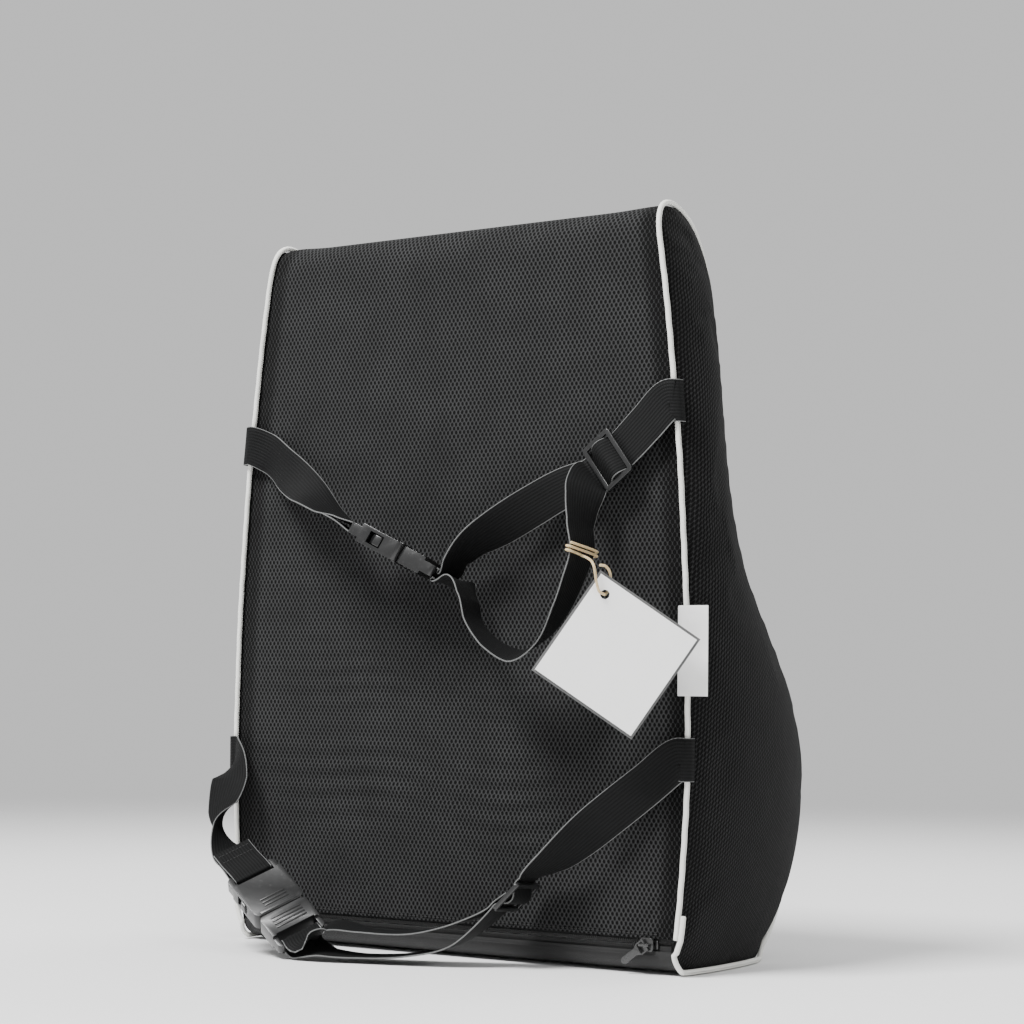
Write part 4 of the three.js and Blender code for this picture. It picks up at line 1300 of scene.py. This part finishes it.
@dataclass
class Zip:
    """A coil zip along the base: tapes, coils, stops, a slider and its pull."""

    level: float = 16.9
    half: float = 151.0
    pitch: float = 1.35
    tape_face: float = -59.7
    coil_y: float = -60.8
    reach: float = 161.0
    stitch: float = 3.1

    def coil(self, name: str, up: int, nylon: bpy.types.Material) -> None:
        """One row of coil teeth: up is 1 above the middle and -1 below it."""
        deselect()
        start = -self.half + (0.35 if up > 0 else 0.35 + self.pitch / 2)
        middle = self.level + up * 1.4
        bpy.ops.mesh.primitive_cylinder_add(vertices=6, radius=0.4 * MM, depth=2.3 * MM)
        tooth = bpy.context.active_object
        bpy.ops.object.mode_set(mode="EDIT")
        bpy.ops.mesh.select_all(action="SELECT")
        bpy.ops.transform.resize(value=(1, 1.7, 1))
        bpy.ops.object.mode_set(mode="OBJECT")
        for vertex in tooth.data.vertices:
            vertex.co.x += 0.25 * vertex.co.z * up
        limit = math.radians(50)
        modify(tooth, "BEVEL", width=0.16 * MM, segments=1, limit_method="ANGLE", angle_limit=limit)
        tooth.data.transform(Matrix.Translation(Vector((start, self.coil_y, middle)) * MM))
        count = int((2 * self.half - 0.8) / self.pitch)
        repeat(tooth, count, self.pitch * MM)
        tooth.name = f"zip_teeth_{name}"
        tooth.matrix_world = Matrix.Identity(4)
        smooth(tooth, 40)
        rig.ride(dress(tooth, nylon, "zip_coil"), "cushion")
        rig.replaces(tooth, f"zip_coil_{name}")

    def tape(self, name: str, up: int, cloth: bpy.types.Material) -> None:
        """One woven tape."""
        near, far = sorted((self.level + up * 0.55, self.level + up * 5.6))
        xs = np.linspace(-self.reach, self.reach, 60)
        zs = np.linspace(near, far, 5)
        points = np.array([[(x, self.tape_face, z) for x in xs] for z in zs]) * MM
        flat = np.array([[(x, z) for x in xs] for z in zs]) * MM
        piece = sheet_grid(f"zip_tape_cloth_{name}", points, flat)
        modify(piece, "SOLIDIFY", thickness=0.6 * MM, offset=-1.0)
        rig.ride(dress(piece, cloth, "zip_tape"), "cushion")
        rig.replaces(piece, f"zip_tape_{name}")

    def topstitch(self, thread: bpy.types.Material) -> None:
        """A line of stitches along each edge of the opening."""
        upper, lower = (self.level + 6.1, -62.95), (self.level - 6.0, -62.35)
        for name, (height, y) in (("upper", upper), ("lower", lower)):
            spot = Matrix.Translation((-self.reach + 3, y, height))
            stitch = pad("stitch", spot, (2.3, 0.5, 0.5), 0.2)
            repeat(stitch, int((2 * self.reach - 6) / self.stitch), self.stitch * MM)
            stitch.name = f"zip_topstitch_{name}"
            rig.ride(dress(stitch, thread, "zip_tape"), "cushion")

    def make(
        self,
        cloth: bpy.types.Material,
        nylon: bpy.types.Material,
        enamel: bpy.types.Material,
        thread: bpy.types.Material,
    ) -> None:
        """Builds and dresses the whole zip."""
        for name, up in (("upper", 1), ("lower", -1)):
            self.tape(name, up, cloth)
            self.coil(name, up, nylon)
        self.topstitch(thread)
        bodies = {"zip_stop_left": "cushion", "zip_stop_right": "cushion", "zip_slider": "zip_slider",
                  "zip_pull": "zip_pull"}
        for node, body in bodies.items():
            piece = recut(node, f"{node}_casting", 0.25 * MM)
            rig.ride(dress(piece, enamel, "zip_metal"), body)
        LOG.info("zip")


# ---------- Straps, label and band ----------

Row = tuple[Vector, Vector]


def row(x: float, y: float, z: float, wx: float, wy: float, wz: float) -> Row:
    """A row of a route: a centre in millimetres and the direction of the strap's width."""
    return Vector((x, y, z)), Vector((wx, wy, wz)).normalized()


def in_frame(place: Matrix, rows: Iterable[tuple[float, float]]) -> list[Row]:
    """Rows given along and above a frame, their width along its Y axis."""
    across = (place.to_3x3() @ Vector((0, 1, 0))).normalized()
    return [(place @ Vector((along, 0, above)), across) for along, above in rows]


FEMALE_WRAP = ((-14, 1.2), (-3, 2.95), (0, 2.95), (2.7, 2.85), (3.1, 0), (2.7, -2.85),
               (0, -2.95), (-3, -2.95), (-14, -1.2), (-25, -1))
MALE_WRAP = ((65, 3.2), (60, 2.95), (57.3, 2.85), (56.9, 0), (57.3, -2.85), (60, -2.95), (65, -3.2))
GLIDE_THREAD = ((14, -2.55), (8.6, -2.55), (1.9, 2.55), (-1.9, 2.55), (-8.6, -2.55), (-14, -2.55))
GLIDE_TAIL = ((-14, -4.55), (-8.6, -4.35), (-4, -3.55), (1, -2.55))


def flipped(rows: Sequence[Row]) -> list[Row]:
    """Rows in the other order, their width turned round."""
    return [(at, -width) for at, width in reversed(rows)]


class Spline:
    """A centripetal curve through points."""

    def __init__(self, points: Sequence[Vector]) -> None:
        """Keeps the points with one more beyond each end."""
        first = points[0] * 2 - points[1]
        last = points[-1] * 2 - points[-2]
        self.points = [first, *points, last]
        self.last = len(points) - 1

    def at(self, place: float) -> Vector:
        """The point at a place counted in rows."""
        place = min(max(place, 0.0), float(self.last))
        i = min(int(place), self.last - 1)
        t = place - i
        a, b, c, d = self.points[i : i + 4]
        d0, d1, d2 = (math.sqrt(max((q - p).length, 1e-6)) for p, q in ((a, b), (b, c), (c, d)))
        m1 = ((b - a) / d0 - (c - a) / (d0 + d1) + (c - b) / d1) * d1
        m2 = ((c - b) / d1 - (d - b) / (d1 + d2) + (d - c) / d2) * d1
        bend, twist = c * 3 - b * 3 - m1 * 2 - m2, b * 2 - c * 2 + m1 + m2
        return b + m1 * t + bend * t**2 + twist * t**3

    def along(self, place: float) -> Vector:
        """The direction at a place."""
        return (self.at(place + 0.002) - self.at(place - 0.002)).normalized()


@dataclass
class Ribbon:
    """A flat strip bent along a route of rows, in millimetres."""

    rows: list[Row]
    width: float = WEB_WIDTH
    thick: float = 1.0
    steps: int = 9

    def __post_init__(self) -> None:
        """Lays the centre line."""
        self.centre = Spline([at for at, _ in self.rows])

    def frame_at(self, place: float) -> tuple[Vector, Vector, Vector, Vector]:
        """Centre, direction, width and upward directions at a place counted in rows."""
        along = self.centre.along(place)
        before = min(int(place), len(self.rows) - 2)
        across = self.rows[before][1].lerp(self.rows[before + 1][1], place - before)
        across = (across - along * across.dot(along)).normalized()
        return self.centre.at(place), along, across, along.cross(across)

    def section(self) -> list[tuple[float, float]]:
        """The cross-section: a flat strip with slightly thinner edges."""
        half, deep = self.width / 2, self.thick / 2
        shares = (-1, -0.95, -0.6, -0.2, 0.2, 0.6, 0.95, 1)
        top = [(half * s, deep * (0.62 if abs(s) == 1 else 1.0)) for s in shares]
        return top + [(x, -y) for x, y in reversed(top)]

    def make(self, name: str, start: float, end: float) -> tuple[bpy.types.Object, float]:
        """Builds the part of the strip between two places.

        Args:
            name: the piece's name.
            start: the first place, counted in rows.
            end: the last place.

        Returns:
            The piece and its length in metres.
        """
        places = np.linspace(start, end, max(6, round((end - start) * self.steps)) + 1)
        section = self.section()
        spots, flat = [], []
        marks = [self.centre.at(i / 10) for i in range(math.ceil(start * 10) + 1)]
        run = sum((b - a).length for a, b in zip(marks, marks[1:]))
        first, before = run, None
        for place in places:
            at, _, across, up = self.frame_at(place)
            run += (at - before).length if before is not None else 0.0
            before = at
            for x, y in section:
                spots.append((at + across * x + up * y) * MM)
                flat.append((x * MM, run * MM))
        count = len(section)
        faces = [face[::-1] for face in grid_faces(len(places), count, closed=True)]
        faces.append(tuple(range(count)))
        faces.append(tuple(range((len(places) - 1) * count, len(places) * count))[::-1])
        piece = new_piece(name, spots, faces, lambda i: flat[i])
        solo(piece)
        bpy.ops.object.mode_set(mode="EDIT")
        bpy.ops.mesh.select_all(action="SELECT")
        bpy.ops.mesh.normals_make_consistent(inside=False)
        bpy.ops.object.mode_set(mode="OBJECT")
        return smooth(piece, 50), (run - first) * MM


@dataclass
class Straps:
    """The four webbing straps and their two adjusters."""

    form: CushionForm
    webbing: bpy.types.Material
    acetal: bpy.types.Material
    thread: bpy.types.Material

    def seam_end(self, side: int, level: float) -> list[Row]:
        """The rows where a strap leaves its side seam and crosses the piping."""
        back, half = self.form.back_y, WEB_WIDTH / 2
        top = self.form.half_width(back, (level + half) * MM) / MM
        bottom = self.form.half_width(back, (level - half) * MM) / MM
        seam, crown = max(top, bottom), -67.3
        spots = ((seam + 2.6, -61.8), (seam + 2.2, crown + 1.7), (seam - 0.6, crown - 0.3),
                 (seam - 4.6, crown - 1))
        return [row(side * x, y, level, side * (top - bottom), 0, 25) for x, y in spots]

    def upper_left(self) -> Ribbon:
        """The upper left strap, from its seam round the hollow half's bar."""
        return Ribbon([
            *self.seam_end(-1, 320),
            row(-147, -66, 314, -0.25, 0.1, 0.95), row(-124, -74, 301, -0.3, 0.35, 0.85),
            row(-98, -84, 286, -0.25, 0.7, 0.65), row(-74, -92, 272, -0.25, 0.9, 0.2),
            *in_frame(UPPER_BUCKLE, FEMALE_WRAP),
        ])

    def upper_right(self) -> Ribbon:
        """The upper right strap: adjuster, slack loop, solid half's bar, back to the adjuster."""
        return Ribbon([
            *self.seam_end(1, 331),
            row(147, -70, 318, -0.5, 0.02, 0.86),
            *in_frame(UPPER_GLIDE, GLIDE_THREAD),
            row(112.5, -77, 287, -0.65, 0, 0.75), row(115, -84, 282, -0.7, -0.4, 0.5),
            row(116.5, -90, 273, -0.35, -0.9, 0.2), row(118.5, -95, 259, -0.05, -1, 0),
            row(122, -98, 243, 0, -1, 0), row(117, -99, 227, 0.05, -1, 0),
            row(109.5, -100, 210, 0.15, -0.98, 0), row(97.5, -101, 192, 0.3, -0.93, -0.15),
            row(80, -101, 183, 0.36, -0.88, -0.29), row(61.5, -100, 188.5, 0.3, -0.93, -0.2),
            row(45.5, -98, 202, 0.2, -0.97, 0), row(38, -95, 217, 0.2, -0.97, 0),
            row(29, -91, 227, 0.24, -0.96, 0.08),
            *flipped(in_frame(UPPER_BUCKLE, MALE_WRAP)),
            row(21, -84, 239.5, 0.25, -0.9, 0.35), row(33, -84, 250, 0.1, -0.8, 0.55),
            row(50, -81, 260, -0.2, -0.55, 0.75), row(72, -77.5, 272, -0.45, -0.25, 0.8),
            row(92, -74, 282, -0.58, -0.05, 0.8),
            *in_frame(UPPER_GLIDE, GLIDE_TAIL),
        ])

    def lower_left(self) -> Ribbon:
        """The lower left strap, from its seam round the hollow half's bar."""
        return Ribbon([
            *self.seam_end(-1, 118),
            row(-160, -84, 104, 0.8, 0.45, 0.4), row(-160, -91, 85, 0.9, -0.1, 0.1),
            row(-151, -99, 70, 0.45, -0.9, 0), row(-138, -106, 59, 0, -0.95, -0.25),
            *in_frame(LOWER_BUCKLE, FEMALE_WRAP),
        ])

    def lower_right(self) -> Ribbon:
        """The lower right strap: adjuster, solid half's bar, back to the adjuster."""
        return Ribbon([
            *self.seam_end(1, 123.5),
            row(151, -72, 109, -0.5, -0.1, 0.85), row(121, -79, 85, -0.5, -0.45, 0.7),
            row(95, -83, 64, -0.2, -0.85, 0.4),
            *in_frame(LOWER_GLIDE, GLIDE_THREAD),
            row(36, -99, 12, 0.3, -0.95, 0), row(10, -109, 5, 0.35, -0.93, 0),
            row(-20, -119, 3, 0.35, -0.93, 0), row(-40, -127, 4.5, 0.3, -0.93, -0.08),
            *in_frame(LOWER_BUCKLE, MALE_WRAP),
            row(-41, -123, 20, 0.2, -0.95, -0.2), row(-18, -117, 18, 0.35, -0.93, 0),
            row(10, -107, 18, 0.35, -0.93, 0), row(34, -98, 24, 0.3, -0.95, 0),
            *in_frame(LOWER_GLIDE, GLIDE_TAIL),
        ])

    def lay(
        self,
        ribbon: Ribbon,
        name: str,
        span: tuple[float, float],
        bodies: tuple[str, ...],
        turn: tuple[float, float] | None = None,
        node: str | None = None,
    ) -> None:
        """Builds one length of a strap and ties it to its bodies.

        Args:
            ribbon: the whole strap.
            name: the piece's name.
            span: its first and last place, counted in rows.
            bodies: the body it rides, or the two that it bends between.
            turn: the places between which it passes from one body to the other.
            node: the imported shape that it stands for.
        """
        piece, length = ribbon.make(name, *span)
        dress(piece, self.webbing, "webbing")
        if turn is None:
            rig.ride(piece, bodies[0])
        else:
            start, end = (ribbon.centre.at(place) * MM for place in turn)
            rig.blend(piece, *bodies, start, end)
        if node:
            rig.replaces(piece, node)
        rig.sheet(piece, (0.025, length), "stretched")
        LOG.info("%s, %.3f m", name, length)

    def stitches(self, name: str, ribbon: Ribbon, places: Sequence[float], body: str) -> None:
        """Rows of stitches across a strap where it is sewn on itself."""
        threads = []
        for place in places:
            at, _, across, up = ribbon.frame_at(place)
            for face in (-1, 1):
                for i in range(-4, 5):
                    spot = Matrix.Translation(at + across * (i * 2.4) + up * (0.5 * face))
                    turned = Matrix((across, across.cross(up) * -1, up)).transposed().to_4x4()
                    threads.append(pad("thread", spot @ turned, (1.6, 0.45, 0.4), 0.16))
        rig.ride(dress(joined(name, threads), self.thread, "webbing"), body)

    def make(self) -> None:
        """Builds the four straps and the two adjusters."""
        upper, lower = self.upper_right(), self.lower_right()
        for name in ("upper", "lower"):
            glide = recut(f"{name}_adjuster", f"{name}_adjuster_moulding", 0.5 * MM)
            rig.ride(dress(glide, self.acetal, "acetal"), f"{name}_adjuster")
        upper_left, lower_left = self.upper_left(), self.lower_left()
        self.lay(upper_left, "upper_left_webbing", (0, 17), ("cushion",), None, "upper_strap_left")
        self.stitches("upper_left_bartack", upper_left, (16.2, 16.7), "cushion")
        self.stitches("lower_left_bartack", lower_left, (16.2, 16.7), "lower_female")
        lengths = (
            (lower_left, "lower_left_webbing", (0, 17), ("cushion", "lower_female"), (4, 7),
             "lower_strap_left"),
            (upper, "upper_right_anchor", (0, 7.5), ("cushion", "upper_adjuster"), (4, 5),
             "upper_strap_right"),
            (upper, "upper_right_loop_top", (7.5, 16), ("upper_adjuster", "cushion"), (11, 14)),
            (upper, "upper_right_loop", (16, 34.5), ("cushion", "upper_male"), (34.5, 31)),
            (upper, "upper_right_tail", (34.5, 39), ("cushion", "upper_adjuster"), (34.5, 36)),
            (lower, "lower_right_anchor", (0, 9.5), ("cushion", "lower_adjuster"), (4, 7),
             "lower_strap_right"),
            (lower, "lower_right_loop_top", (9.5, 14.5), ("lower_adjuster", "cushion"), (12, 14)),
            (lower, "lower_right_loop", (14.5, 26.5), ("cushion",)),
            (lower, "lower_right_tail", (26.5, 31), ("cushion", "lower_adjuster"), (26.5, 28)),
        )
        for length in lengths:
            self.lay(*length)


@dataclass
class Label:
    """A blank woven label sewn into the right seam."""

    form: CushionForm
    level: float = 186.0
    high: float = 52.0
    thick: float = 0.8

    def make(self, satin: bpy.types.Material) -> None:
        """Builds and dresses the label."""
        seam = self.form.half_width(self.form.back_y, self.level * MM) / MM
        proud = -66.9
        spots = ((seam - 7, -63.0), (seam - 4, proud + 1), (seam - 0.6, proud), (seam + 7, proud + 0.4),
                 (seam + 14, proud + 2))
        ribbon = Ribbon([row(x, y, self.level, 0, 0, 1) for x, y in spots], self.high, self.thick)
        piece, length = ribbon.make("label_blank", 0, len(spots) - 1)
        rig.ride(dress(piece, satin, "label"), "cushion")
        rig.replaces(piece, "side_label")
        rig.sheet(piece, (self.high * MM, length), "folded")
        LOG.info("label")


@dataclass
class TagBand:
    """A rubber band wound twice round the slack loop and through the hole of a swing tag."""

    radius: float = 0.8
    steps: int = 156
    leaves_strap: int = 104

    def route(self, strap: Ribbon) -> list[Vector]:
        """The band's centre line in metres."""
        at, along, across, up = strap.frame_at(15.0)
        edge, side = WEB_WIDTH / 2 + self.radius + 0.6, 0.5 + self.radius + 1.2
        turn = [
            (edge, -side * 0.5, -2.5), (edge * 0.6, -side, -2.1), (-edge * 0.6, -side, -1.7),
            (-edge, -side * 0.5, -1.5), (-edge, side * 0.5, -1.3), (-edge * 0.6, side, -1.1),
            (edge * 0.6, side, -0.7), (edge, side * 0.5, -0.5),
        ]
        wound = turn + [(x, y, z + 2.4) for x, y, z in turn]
        wound += [(edge, -side * 0.5, 2.3), (edge * 0.3, -side * 1.2, 3.4)]
        spots = [at + across * x + up * y + along * z for x, y, z in wound]
        through = (
            (-15, -10, 4.5), (-8, -3, 3.4), (-3.5, 0.6, 2.8), (-0.6, 0.3, 1.4), (0.1, 0, -0.8),
            (0.4, -2.5, -3), (-1.5, -8, -3.2), (-5, -12.2, -2), (-9, -13.4, 1), (-12, -11.8, 2.6),
        )
        outwards = 1 if TAG.col[2].y < 0 else -1
        spots += [TAG @ Vector((x, y, outwards * out)) for x, y, out in through]
        curve = Spline(spots)
        return [curve.at(i / self.steps * (len(spots) - 1)) * MM for i in range(self.steps + 1)]

    def make(self, strap: Ribbon, rubber: bpy.types.Material) -> None:
        line = self.route(strap)
        length = sum((b - a).length for a, b in zip(line, line[1:]))
        piece = tube("tag_rubber_band", line, self.radius * MM, 10)
        dress(piece, rubber, "rubber_band")
        hole = TAG.translation * MM
        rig.blend(piece, "cushion", "hang_tag", line[self.leaves_strap], hole)
        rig.replaces(piece, "hang_tag_band")
        card = ("hang_tag_card", "hang_tag_backing")
        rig.cord(
            piece, line[0], length, 2 * self.radius * MM, "object", "limp", path=line, with_pieces=card
        )
        LOG.info("rubber band, %.3f m", length)


def dress_cards(face: bpy.types.Material, back: bpy.types.Material) -> None:
    """Gives the swing tag's two cards their finishes."""
    cards = (("hang_tag_card", face, "card"), ("hang_tag_backing", back, "card_backing"))
    for node, material, slot in cards:
        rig.slot(frame["nodes"][node], slot)
        frame["nodes"][node].data.materials.clear()
        frame["nodes"][node].data.materials.append(material)


# ---------- Studio ----------


@dataclass(frozen=True)
class Lamp:
    """A square soft light aimed at a point."""

    name: str
    place: Point
    aim: Point
    size: float
    power: float

    def make(self) -> None:
        """Hangs the light."""
        data = bpy.data.lights.new(self.name, "AREA")
        data.size = self.size
        data.energy = self.power
        lamp = linked(self.name, data)
        lamp.location = self.place
        beam = Vector(self.aim) - Vector(self.place)
        lamp.rotation_euler = beam.to_track_quat("-Z", "Y").to_euler()
        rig.stage(lamp)


@dataclass(frozen=True)
class Studio:
    """A camera, a pale floor that fades into a white room, and soft lights."""

    eye: Point = (0.9438, -1.2982, 0.1595)
    azimuth: float = 36.0
    pitch: float = 4.144
    roll: float = 0.723
    lens: float = 88.7

    def camera(self) -> None:
        """Sets the camera."""
        a, p, r = (math.radians(x) for x in (self.azimuth, self.pitch, self.roll))
        ahead = Vector((-math.sin(a) * math.cos(p), math.cos(a) * math.cos(p), math.sin(p)))
        level = Vector((math.cos(a), math.sin(a), 0))
        above = level.cross(ahead)
        right = level * math.cos(r) + above * math.sin(r)
        up = above * math.cos(r) - level * math.sin(r)
        data = bpy.data.cameras.new("view")
        data.lens = self.lens
        data.sensor_width = 36.0
        data.clip_start = 0.01
        camera = linked("view", data)
        turned = Matrix((right, up, -ahead)).transposed().to_4x4()
        camera.matrix_world = Matrix.Translation(Vector(self.eye)) @ turned
        bpy.context.scene.camera = camera

    def floor(self) -> None:
        """Lays the floor."""
        deselect()
        bpy.ops.mesh.primitive_circle_add(
            vertices=96, radius=5, fill_type="NGON", location=(0, 0, -0.0006)
        )
        piece = bpy.context.active_object
        piece.name = "floor"
        paint = Paint("floor_pale")
        x, y, _ = paint.split(paint.place())
        far = (x * x + y * y) ** 0.5
        paint.plug(paint.shader.inputs["Alpha"], 1 - far.step(0.7, 2.4))
        piece.data.materials.append(paint.finish((0.86, 0.86, 0.86, 1), 0.75, Specular_IOR_Level=0.1))
        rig.stage(piece)

    def room(self) -> None:
        """Fills the room with even white light."""
        world = bpy.data.worlds.new("room")
        bpy.context.scene.world = world
        world.use_nodes = True
        sky = world.node_tree.nodes["Background"]
        sky.inputs["Color"].default_value = (1, 1, 1, 1)
        sky.inputs["Strength"].default_value = 0.72

    def lamps(self) -> None:
        """Hangs the soft lights."""
        middle = (0, 0, 0.24)
        for lamp in (
            Lamp("key", (-0.35, -1.45, 2.3), middle, 0.8, 135),
            Lamp("fill", (2.1, -0.7, 1.2), middle, 0.8, 9),
            Lamp("back", (0.3, 1.7, 1.9), middle, 1.2, 24),
        ):
            lamp.make()


def main() -> None:
    """Builds the whole scene."""
    logging.basicConfig(level=logging.INFO, format="%(name)s: %(message)s")
    studio = Studio()
    studio.camera()
    form = CushionForm()
    acetal = Moulding("acetal_grey").material()
    webbing = Webbing().material()
    thread = Moulding("thread_black", grey(0.008), 0.6, 0.0).material()
    straps = Straps(form, webbing, acetal, thread)
    TagBand().make(straps.upper_right(), Rubber().material())
    dress_cards(Paper("card_white").material(), Paper("card_grey", grey(0.1), 0.6).material())
    mesh = SpacerMesh("mesh_charcoal").material()
    # The sides take a copy of the same spacer mesh with slanting rows; its darker yarn is painted shade on the sides.
    flank = SpacerMesh(
        "mesh_charcoal_side", pitch=(2.4 * MM, 5.4 * MM), hole=(0.66 * MM, 1.9 * MM),
        slant=math.radians(-28), opening=0.1, yarn=grey(0.024, (0.98, 1.0, 1.0)),
    ).material()
    sole = WovenCloth("base_poplin").material()
    cover = Cover(form)
    jersey = WovenCloth("liner_jersey", 0.9 * MM, grey(0.72), 0.12).material()
    cover.make_filling(OpenFoam().material(), jersey)
    cover.make_cover(mesh, flank, sole)
    Piping(form).make(PipingKnit().material())
    Zip().make(
        WovenCloth("zip_tape_twill", 0.4 * MM, grey(0.009)).material(),
        Moulding("nylon_black", grey(0.012), 0.42, 0.0).material(),
        Moulding("zinc_black", grey(0.06), 0.22, 0.4, 0.8).material(),
        thread,
    )
    upper = {"buckle_female": "cushion", "buckle_male": "upper_male", "prong_a": "upper_prong_a",
             "prong_b": "upper_prong_b"}
    lower = {"buckle_female": "lower_female", "buckle_male": "cushion", "prong_a": "lower_prong_a",
             "prong_b": "lower_prong_b"}
    Buckle("upper", UPPER_BUCKLE, upper).make(acetal)
    Buckle("lower", LOWER_BUCKLE, lower).make(acetal)
    straps.make()
    Label(form).make(Satin().material())
    studio.floor()
    studio.room()
    studio.lamps()
    sizes = {"cad": [list(c) for c in CAD_BOX], "visual": [list(c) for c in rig.bounds()]}
    with open("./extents.json", "w") as out:
        json.dump(sizes, out)
    LOG.info("size %s", sizes)


if __name__ == "__main__":
    main()
